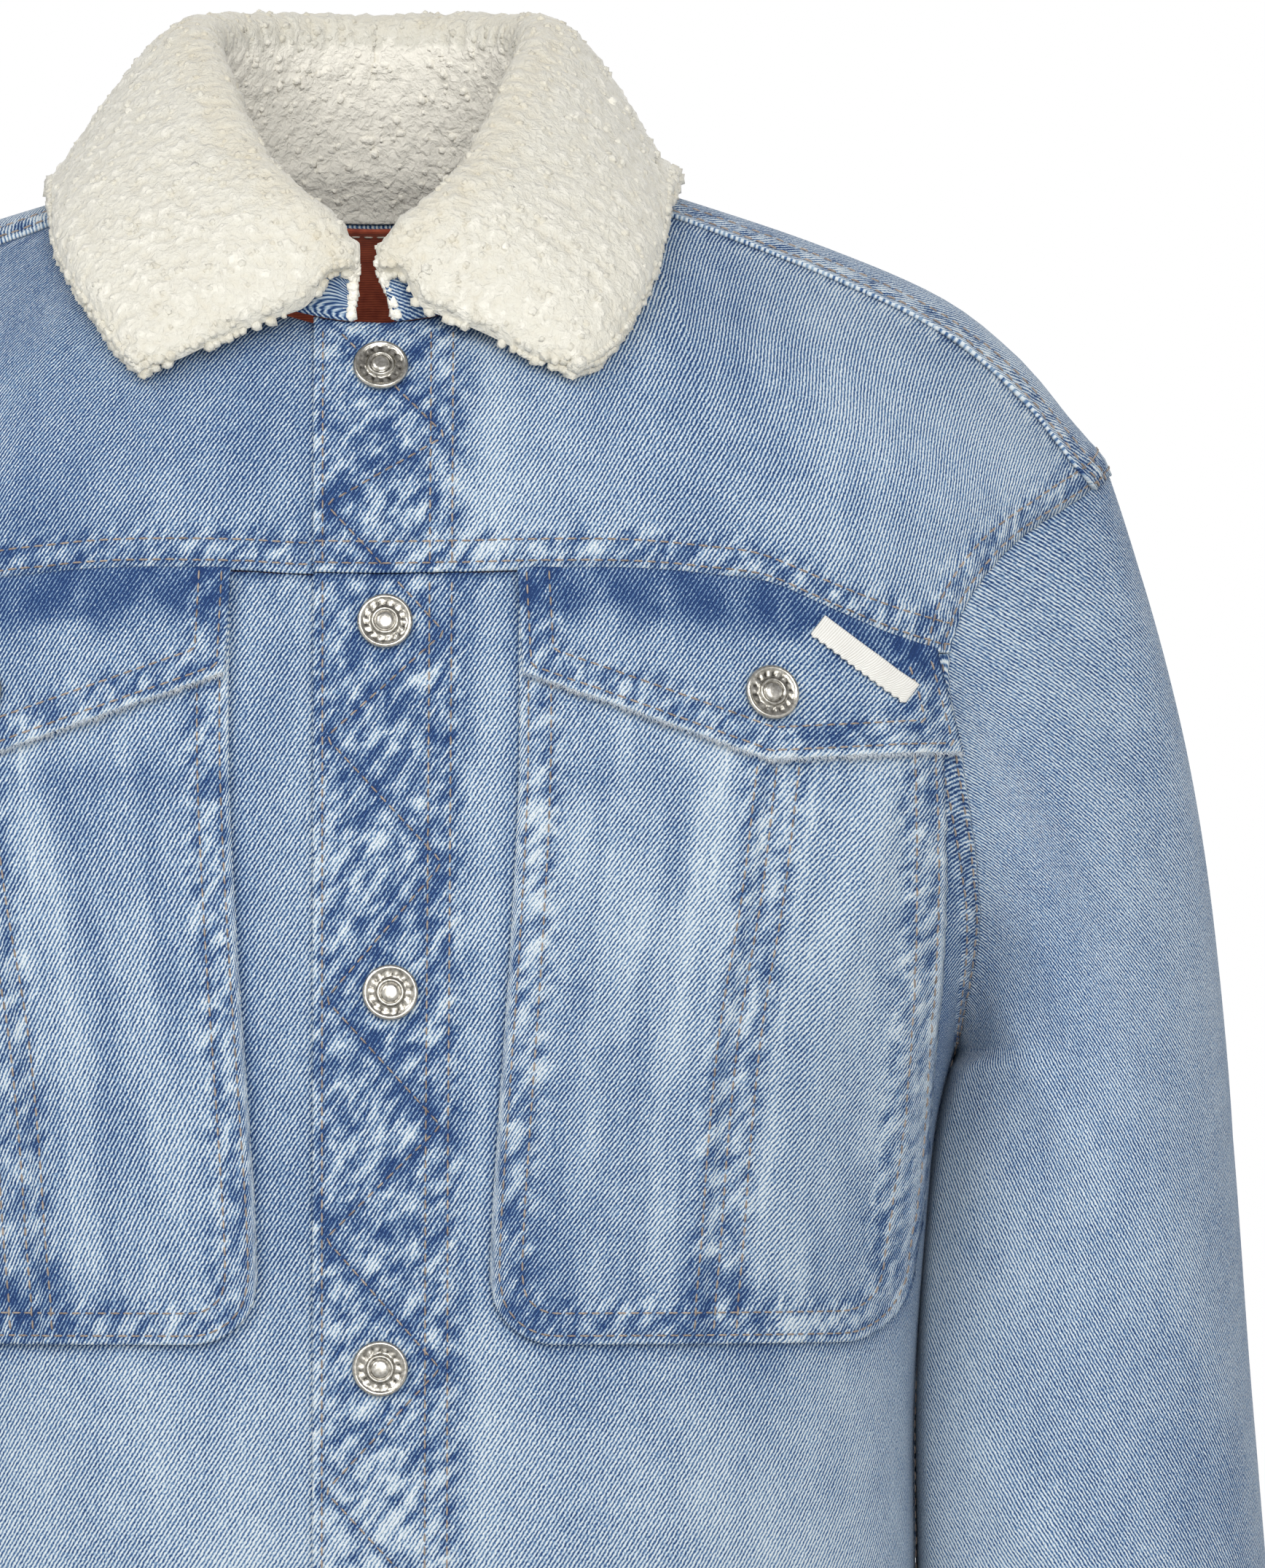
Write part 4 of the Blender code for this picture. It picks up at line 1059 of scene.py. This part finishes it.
def waistband_piece():
    grid = waistband_form()
    normal = body_normal(grid)
    last = grid.shape[1] - 1
    under = np.arange(last + 1) > last - len(ACROSS)
    layer = (BAND + LAYER_GAP) * ease((grid[..., 0] + FLUSH) / (FLUSH - TUCKED)) * under
    grid = trimmed(grid - normal * layer[..., None])
    works = [felled(*from_edge(grid, edge), 70 + k, rows=(BAND_ROW,), lift=0.0)
             for k, edge in enumerate(("top", "bottom", "start"))]
    height, tone, pucker = combined(grid, works)
    return Cloth("waistband", grid, normal, height + 0.6,
                 tone + TONE["waistband"] + broad_wash(grid, 74), wall=BAND - 0.6, pucker=pucker)


def outline_work(grid, line, seed, sign):
    return felled(*from_line(grid[..., (0, 2)] * (sign, 1), line), seed, lift=0.65)


def inset(line, distance):
    """A line moved sideways in its plane by a distance, with its corners kept sharp."""
    ahead = unit(np.diff(line, axis=0))
    side = np.stack([-ahead[:, 1], ahead[:, 0]], axis=1)
    first, second = np.concatenate([side[:1], side]), np.concatenate([side, side[-1:]])
    return line + (first + second) / (1 + (first * second).sum(1, keepdims=True)) * distance


def pocket_outline():
    """Down the inner side, along the bottom and up the outer side."""
    grid = pocket_form()[..., (0, 2)]
    return resampled(np.concatenate([grid[:, 0], grid[-1, 1:-1], grid[::-1, -1]]), 2.5)


def flap_outline():
    grid = flap_form()[..., (0, 2)]
    low = np.array(list(zip(FLAP_LOWER_EDGE["x"], FLAP_LOWER_EDGE["z"])))
    return np.concatenate([grid[:1, 0], low, grid[:1, -1]])


def lifted(grid, sign, offset):
    """A layer's grid at its height over the body, with the folds of the cloth beneath."""
    grid = trimmed(grid * (sign, 1, 1))
    normal = body_normal(grid)
    return grid + normal * (body_folds(grid) + offset)[..., None], normal


def pocket_piece(side, sign):
    form = pocket_form()
    grid, normal = lifted(form, sign, LAYER_GAP + DENIM)
    x, z = form[..., 0], form[..., 2]
    middle = curve(PLEAT, "x", z)
    off = x - middle
    height, tone, pucker = outline_work(grid, pocket_outline(), 80 + sign, sign)
    height = height + 0.9 * ease((off + 20) / 18) * ease((0.2 - off) / 0.8) - 0.25 * bell(off - 1.2, 0.9)
    for row in PLEAT_ROWS:
        height = height - 0.15 * bell(off - row, 0.9)
    crease = cloud(off / 5, z / 4.2, 83 + sign)
    close = bell(np.maximum(np.abs(off - 3) - 7, 0), 3)
    tone = tone + 0.35 * bell(off, 0.9) + 0.22 * crease * close - 0.10 * close
    faded = 0.65 + 0.45 * cloud(off / 2.5, z / 16, 85)
    for streak, width, size in PLEAT_WEAR:
        tone = tone + size * bell(off - streak, width) * faded * ease((z + 345) / 20)
    tone = tone + 0.15 * cloud(off / 5.5, z / 48, 87) + 0.12 * cloud(off / 2.6, z / 22, 89)
    bottom = ease((-z - 322) / 16) * bell(off - 3, 15)
    tone = tone - 0.75 * bottom * (0.75 + 0.4 * cloud(x / 4, z / 6, 86))
    # painted shadow: a band across the pocket just below the flap's lower edge is darkened
    tone = tone - 0.2 * bell(z - UNDER_FLAP, 5) + TONE["pocket"] + broad_wash(grid, 88)
    pucker = np.maximum(pucker, 0.8 * close)
    return Cloth("pocket_" + side, grid, normal, height, tone, flip=sign < 0, pucker=pucker)


def flap_piece(side, sign):
    form = flap_form()
    grid, normal = lifted(form, sign, LAYER_GAP + DENIM + LAYER_GAP + DENIM)
    height, tone, pucker = outline_work(grid, flap_outline(), 90 + sign, sign)
    distance, run = from_edge(form, "top")
    dark = ease((19 - distance + 5 * cloud(run / 9, distance / 12, 92)) / 9)
    tone = tone - 0.95 * dark * (0.8 + 0.35 * cloud(run / 5, distance / 9, 93))
    low, _ = from_edge(form, "bottom")
    tone = tone + 0.85 * bell(low, 1.9) + 0.12 * bell(low - 20, 9)
    height = height + (0.5 + 0.45 * cloud(run / 3, distance / 3, 94)) * bell(low, 1.6)
    tone = tone + TONE["flap"] + broad_wash(grid, 96)
    return Cloth("flap_" + side, grid, normal, height, tone, flip=sign < 0, pucker=pucker)


def plane_line(line, sign):
    """A line drawn in x and z, laid on the front of the body."""
    line = resampled(line, 2.0)
    return on_body(line[:, 0], line[:, 1]) * (sign, 1, 1)


def on_layer(line, offset):
    """Points of the bare form lifted to a layer's own grid."""
    return line + body_normal(line) * (body_folds(line) + offset)[..., None]


def pocket_rows(sign):
    offset = LAYER_GAP + DENIM
    lines = [inset(pocket_outline(), d) for d in TWIN_ROWS]
    z = np.linspace(PLEAT["z"][0], PLEAT["z"][-1] + 2, 40)
    lines += [np.stack([curve(PLEAT, "x", z) + row, z], axis=1) for row in PLEAT_ROWS]
    return [on_layer(plane_line(line, sign), offset) for line in lines]


def flap_rows(sign):
    offset = 2 * (LAYER_GAP + DENIM)
    outline = flap_outline()
    outline[0, 1] -= 1.0
    outline[-1, 1] -= 1.0
    return [on_layer(plane_line(inset(outline, d), sign), offset) for d in TWIN_ROWS]


def placket_lines(low, high):
    """The band's straight rows and its zigzag between two heights."""
    z = np.linspace(high, low, 60)
    lines = [np.stack([placket_row(z) + off, z], axis=1) for off in (0, PLACKET_ROWS_APART)]
    lines.append(np.stack([np.full_like(z, -OVERLAP["left"] + PLACKET_EDGE_ROW), z], axis=1))
    zigzag = resampled(zigzag_line(), 2.0)
    lines.append(zigzag[(zigzag[:, 1] > low) & (zigzag[:, 1] < high)])
    lines = [line for line in lines if len(line) > 3]
    return [on_layer(plane_line(line, 1), 0) for line in lines]


# ---------------------------------------------------------------- collar, fray, buttons

def cells(points, size, seed):
    """How far each point is from the nearest of many scattered tuft centres, as a share of their spacing."""
    grid = points / size
    base = np.floor(grid).astype(int)
    best = np.full(points.shape[:-1], 9.0)
    for dx in (-1, 0, 1):
        for dy in (-1, 0, 1):
            for dz in (-1, 0, 1):
                cell = base + (dx, dy, dz)
                mixed = cell[..., 0] * 73856093 ^ cell[..., 1] * 19349663 ^ cell[..., 2] * 83492791 ^ seed
                centre = np.stack([((mixed * k) % 10007) / 10007 for k in (131, 717, 1303)], axis=-1)
                best = np.minimum(best, np.linalg.norm(cell + centre - grid, axis=-1))
    return best


def fluffed(grid, swell, opening):
    """The collar's pile swells past its cut edges; its two ends draw back where they meet at the throat."""
    fall_edge = from_edge(grid, "end")[0]
    outward = unit(np.gradient(grid, axis=1))
    end = np.minimum(from_edge(grid, "top")[0], from_edge(grid, "bottom")[0])
    near = swell * (1 - np.clip(fall_edge / 9, 0, 1)) ** 1.5
    moved = grid + outward * (near * (1 - 1.3 * bell(end, 9)))[..., None]
    away = unit(np.gradient(grid, axis=0))
    throat = 1 - ease((np.arange(grid.shape[1]) / grid.shape[1] - 0.5) / 0.14)
    for name, sign in (("top", -1), ("bottom", 1)):
        end = from_edge(grid, name)[0]
        near = (1 - np.clip(end / 9, 0, 1)) ** 1.5
        back = throat * bell(end, 14) * opening
        corner = (1 - throat) * (1 - 1.3 * bell(fall_edge, 9))
        moved = moved + away * (sign * (near * swell * corner - back))[..., None]
    return moved


def collar_piece():
    grid = collar_form(156, 38, 42)
    beside = np.gradient(grid, axis=1)
    normal = unit(np.cross(beside, -np.gradient(grid, axis=0)))
    edge = np.minimum.reduce([from_edge(grid, name)[0] for name in ("top", "bottom", "end")])
    seam = from_edge(grid, "start")[0]
    rounding = np.sqrt(np.clip(1 - (1 - np.clip(edge / 6.0, 0, 1)) ** 2, 0, 1))
    rounding = rounding * (0.25 + 0.75 * ease(seam / 18))
    tufts = 1 - cells(grid, 3.8, 3)
    fine = 1 - cells(grid, 2.0, 8)
    curls = (1.7 * tufts + 0.9 * fine - 0.6) * (0.35 + 0.65 * rounding)
    height = (PILE - 1.0) * rounding + curls * ease(seam / 10)
    # painted shade and light: the tuft cells lighten the tops of the curls and darken between them, the
    # inside term lightens the shaded inside of the neck, and the bell at column 38 darkens the fold where
    # light falls on it
    inside = ease((33 - np.arange(grid.shape[1])) / 12)
    tone = 0.50 + 0.20 * tufts + 0.12 * fine + 0.62 * inside - 0.16 * bell(np.arange(grid.shape[1]) - 38, 6)
    grid = fluffed(grid, 5.0, 4.5)
    return Cloth("collar", grid, normal, np.maximum(height, 0.6), tone, wall=-SEAM_GAP)


def collar_tufts(cloth, material, count=3600):
    """Small curled tufts scattered over the pile, crowded along its edges."""
    rng = np.random.RandomState(11)
    rows, columns = cloth.grid.shape[:2]
    i = rng.randint(0, rows, count)
    j = rng.randint(4, columns, count)
    edge = rng.rand(count) < 0.45
    j = np.where(edge, columns - 1 - rng.randint(0, 3, count), j)
    ends = rng.rand(count) < 0.1
    i = np.where(ends, rng.choice((0, 1, rows - 2, rows - 1), count), i)
    place, outward = cloth.face[i, j], cloth.normal[i, j]
    spread = unit(rng.normal(size=(count, 3)))
    radius = rng.uniform(0.9, 1.7, count)[:, None] * np.where(edge | ends, 1.1, 0.9)[:, None]
    golden = (1 + math.sqrt(5)) / 2
    pairs = [(a, b) for a in (-1, 1) for b in (-golden, golden)]
    corners = unit(np.array([(a, b, 0) for a, b in pairs] + [(0, a, b) for a, b in pairs]
                            + [(b, 0, a) for a, b in pairs]))
    apart = np.linalg.norm(corners[:, None] - corners[None], axis=-1) < 1.1
    triangles = [(a, b, c) for a in range(12) for b in range(a + 1, 12) for c in range(b + 1, 12)
                 if apart[a, b] and apart[b, c] and apart[a, c]]
    triangles = [t if np.linalg.det(corners[list(t)]) > 0 else t[::-1] for t in triangles]
    wobble = 1 + 0.12 * rng.normal(size=(count, 12, 1))
    stretch = 1 + 0.35 * np.abs(np.einsum("kc,nc->nk", corners, spread))[..., None]
    points = (place - outward * 0.55 * radius)[:, None] + corners * radius[:, None] * wobble * stretch
    tone = np.repeat(cloth.tone[i, j] + rng.uniform(-0.12, 0.02, count), 12)
    return plain_mesh("collar_tufts", points.reshape(-1, 3), copies(triangles, points), material, tone=tone)


def under_collar_piece():
    grid = fluffed(collar_form(70, 20, 20), 0, 3.5)
    normal = unit(np.cross(np.gradient(grid, axis=1), -np.gradient(grid, axis=0)))
    seam, run = from_edge(grid, "start")
    tone = TONE["under_collar"] + 0.35 * cloud(run / 6, seam / 8, 98)
    height = np.full(grid.shape[:2], 0.4 + DENIM)
    return Cloth("under_collar", grid, -normal, height, tone, wall=-0.4, flip=True)


def frayed_edge(cloth, material, count=800):
    """Loose yarn ends along a flap's raw lower edge."""
    rng = np.random.RandomState(21)
    j = rng.randint(0, cloth.grid.shape[1] - 1, count)
    t = rng.rand(count)[:, None]
    here, after, outward = cloth.face[-1, j], cloth.face[-1, j + 1], cloth.normal[-1, j]
    root = mix(here, after, t) - outward * rng.uniform(0, 1.1, (count, 1))
    down, beside = unit(here - cloth.face[-4, j]), unit(after - here)
    way = unit(down + beside * rng.normal(0, 0.7, (count, 1)) + outward * rng.normal(0.1, 0.3, (count, 1)))
    length = rng.uniform(0.7, 2.8, (count, 1))
    across = unit(np.cross(way, outward))
    thick = 0.2
    tip = root + way * length + across * rng.normal(0, 0.3, (count, 1))
    ring = [root + across * thick * math.cos(a) + outward * thick * math.sin(a)
            for a in (0, TURN / 3, 2 * TURN / 3)]
    points = np.stack([*ring, tip], axis=1)
    faces = copies(((0, 1, 3), (1, 2, 3), (2, 0, 3), (2, 1, 0)), points)
    return plain_mesh(cloth.name + "_fray", points.reshape(-1, 3), faces, material)


# A button's outline from its foot to the middle of its cap, as shares of its radius: out, and up
BUTTON_PROFILE = ((0.90, 0), (0.97, 0.04), (1.0, 0.11), (0.985, 0.19), (0.93, 0.25), (0.87, 0.255),
                  (0.83, 0.225), (0.78, 0.19), (0.70, 0.175), (0.60, 0.175), (0.53, 0.19), (0.50, 0.24),
                  (0.475, 0.29),
                  (0.44, 0.305), (0.40, 0.29), (0.375, 0.25), (0.345, 0.245), (0.32, 0.28), (0.29, 0.315),
                  (0.2, 0.335), (0.1, 0.34), (0, 0.342))


def button_piece(name, seat, outward, material):
    """A tack button's cap: rolled rim, sunk ring with a row of plain raised ticks, and a domed middle."""
    around, radius = 56, BUTTON_RADIUS
    outward = Vector(outward)
    first = outward.orthogonal().normalized()
    first, second = np.array(first), np.array(outward.cross(first))
    outward = np.array(outward)
    turns = np.arange(around) / around * TURN
    spokes = np.cos(turns)[:, None] * first + np.sin(turns)[:, None] * second
    rows, shades = [], []
    for share, height in BUTTON_PROFILE[:-1]:
        tick = (np.arange(around) % 4 < 2) * bell((share - 0.67) / 0.075, 1)
        rows.append(seat + spokes * radius * share + outward * radius * (height + 0.045 * tick)[:, None])
        ring = bell((share - 0.66) / 0.13, 1) + 0.7 * bell((share - 0.36) / 0.035, 1)
        shades.append(-0.75 * ring + 0.7 * tick)
    points = np.concatenate(rows + [[seat + outward * radius * BUTTON_PROFILE[-1][1]], [np.array(seat)]])
    faces = []
    for i in range(len(rows) - 1):
        for k in range(around):
            a, b = i * around + k, i * around + (k + 1) % around
            faces += [(a, b, b + around), (a, b + around, a + around)]
    top, bottom, last = len(rows) * around, len(rows) * around + 1, (len(rows) - 1) * around
    for k in range(around):
        after = (k + 1) % around
        faces += [(last + k, last + after, top), (after, k, bottom)]
    tone = np.append(np.concatenate(shades), (0, 0))
    return plain_mesh(name + "_cap", points, faces, material, tone=tone)


# ---------------------------------------------------------------- assembly

def build():
    denim, pile, metal = washed_denim(), sherpa_pile(), nickel()
    rust, tape = rust_lining(), woven_tape()
    tan = thread("tan_topstitch", "#7A6D64", "#A8998C")
    pale = thread("pale_thread", "#C9C3B4", "#E0DCD0")
    yarn = thread("frayed_yarn", "#AEBDCE", "#DDE2E6")

    def sew(cloth, node, lines, extra=(), material=denim,
            sewn_with=tan):
        obj = cloth.mesh(material)
        obj.name = node + "_cloth"
        sewn = [stitching(cloth, lines, sewn_with)] if lines else []
        finish_piece(obj, node, [*extra, *sewn])

    def twin(cloth, *edges, trim=0):
        return [cloth.row(edge, d, trim) for edge in edges for d in TWIN_ROWS]

    def hems(cloth):
        return [cloth.row(edge, BAND_ROW) for edge in ("top", "bottom")]

    for side, sign in (("left", 1), ("right", -1)):
        yoke = front_yoke_piece(side, sign)
        lines = placket_lines(-118, -44) if side == "left" else []
        sew(yoke, "front_yoke_" + side, twin(yoke, "bottom", "end") + lines)

        front = front_piece(side, sign)
        lines = placket_lines(WAIST_SEAM + 1, -121) if side == "left" else []
        sew(front, "front_" + side, twin(front, "end", trim=2) + lines)

        sleeve = sleeve_piece(side, sign)
        sew(sleeve, "sleeve_" + side, twin(sleeve, "start", trim=3))

        cuff = cuff_piece(side, sign)
        sew(cuff, "cuff_" + side, hems(cuff))

        pocket = pocket_piece(side, sign)
        sew(pocket, "pocket_" + side, pocket_rows(sign))
        flap = flap_piece(side, sign)
        fray = frayed_edge(flap, yarn)
        sew(flap, "flap_" + side, flap_rows(sign),
            extra=[fray])

    back = back_piece()
    sew(back, "back", twin(back, "start", "end", trim=2))

    yoke = back_yoke_piece()
    lines = twin(yoke, "bottom", "start", "end")
    for line in twin(yoke, "top"):
        outer = np.abs(line[:, 0]) > NECK_HALF_WIDTH * 0.9
        half = len(line) // 2
        lines += [line[:half][outer[:half]], line[half:][outer[half:]]]
    sew(yoke, "back_yoke", lines)

    waistband = waistband_piece()
    sew(waistband, "waistband", hems(waistband))

    grid, normal = on_form(back_yoke_form()[::2, ::2])
    cover = Cloth("back_lining", grid - normal * (DENIM + SEAM_GAP), -normal,
                  np.full(grid.shape[:2], LINING), np.zeros(grid.shape[:2]), wall=0.0, flip=True)
    sew(cover, "back_lining", [cover.row("top", 3)],
        material=rust, sewn_with=pale)

    collar = collar_piece()
    sew(collar, "collar", [], extra=[collar_tufts(collar, pile)],
        material=pile)
    sew(under_collar_piece(), "under_collar", [])

    offset = 2 * (LAYER_GAP + DENIM) + BUTTON_GAP + 1.0
    grid, normal = lifted(label_form(), 1, offset)
    bend = 0.25 * cloud(grid[..., 0] / 7, grid[..., 2] / 7, 99)
    label = Cloth("label", grid, normal, bend, np.zeros(grid.shape[:2]), wall=0.7)
    sew(label, "label", [], material=tape)

    for name, (x, z) in BUTTONS.items():
        seat = on_body(np.array(float(x)), np.array(float(z)))
        outward = body_normal(seat)
        button_on(name, seat, outward, BUTTON_GAP + 0.6 + body_folds(seat), metal)
    for side, sign in (("left", 1), ("right", -1)):
        seat = on_body(np.array(FLAP_BUTTON[0] * sign), np.array(FLAP_BUTTON[1]))
        outward = body_normal(seat)
        offset = 2 * (LAYER_GAP + DENIM) + BUTTON_GAP + body_folds(seat)
        button_on("flap_button_" + side, seat, outward, offset, metal)
        low, high = (np.array(point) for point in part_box("cuff_button_" + side))
        middle = (low + high) / 2 / MM
        axis = middle - (sum(SLEEVE[key][-1] for key in ("outer", "inner")) / 2 * sign, 3.5, middle[2])
        outward = unit(axis * (0.8, 1, 0))
        button_on("cuff_button_" + side, middle - outward * 1.6, outward, 0, metal)


def button_on(name, seat, outward, lift, material):
    obj = button_piece(name, seat + outward * lift, outward, material)
    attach(obj, "root")
    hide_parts(name)


FLOOR = -0.70
LAMPS = (("key", (-2.0, -2.6, 1.7), 1.6, 40), ("front", (0.5, -3.6, 0.7), 2.2, 70),
         ("back", (0.5, 2.8, 1.6), 2.2, 60))     # name, place and side in metres, watts
LAMPS_TO = (0, 0, -0.25)


def studio():
    """White floor and horizon, a broad soft light in front, one high on the left and one behind."""
    bpy.ops.mesh.primitive_plane_add(size=6, location=(0, 0, FLOOR))
    floor = bpy.context.object
    floor.name = "floor"
    floor.data.materials.append(painted_floor())

    world = bpy.data.worlds.new("studio")
    bpy.context.scene.world = world
    world.use_nodes = True
    tree = world.node_tree
    way = add(tree, "TexCoord").outputs["Generated"]
    height = add(tree, "SeparateXYZ", {"Vector": way}).outputs["Z"]
    level = add(tree, "Math", {0: height}, operation="ABSOLUTE").outputs[0]
    sky = ramp(tree, level, ((0.14, "#FFFFFF"), (0.34, "#A8A8AA")))
    tree.links.new(sky, tree.nodes["Background"].inputs["Color"])
    tree.nodes["Background"].inputs["Strength"].default_value = 1.0

    for name, place, size, power in LAMPS:
        light = bpy.data.objects.new(name, bpy.data.lights.new(name, "AREA"))
        light.data.size, light.data.energy = size, power
        light.location = place
        light.rotation_euler = (Vector(LAMPS_TO) - Vector(place)).to_track_quat("-Z", "Y").to_euler()
        bpy.context.scene.collection.objects.link(light)


CAMERA_AT, CAMERA_TO = (0, -4.12, -0.27), (0.078, -0.12, -0.183)
SEEN_HEIGHT = 0.473


def camera():
    """Level with the chest and far off, so that the long lens sees the wearer's left front and shoulder."""
    seen = bpy.data.cameras.new("camera")
    obj = bpy.data.objects.new("camera", seen)
    place, aim = Vector(CAMERA_AT), Vector(CAMERA_TO)
    obj.location = place
    obj.rotation_euler = (aim - place).to_track_quat("-Z", "Y").to_euler()
    seen.lens = seen.sensor_width * (aim - place).length / SEEN_HEIGHT
    bpy.context.scene.collection.objects.link(obj)
    bpy.context.scene.camera = obj


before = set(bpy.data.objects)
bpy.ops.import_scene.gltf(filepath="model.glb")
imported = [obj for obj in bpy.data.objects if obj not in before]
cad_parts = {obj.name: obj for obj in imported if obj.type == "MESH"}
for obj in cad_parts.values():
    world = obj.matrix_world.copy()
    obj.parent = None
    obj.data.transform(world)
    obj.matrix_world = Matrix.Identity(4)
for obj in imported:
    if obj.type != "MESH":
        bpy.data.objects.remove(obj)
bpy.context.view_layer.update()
camera()
studio()
build()
bpy.context.scene.view_settings.view_transform = "Standard"
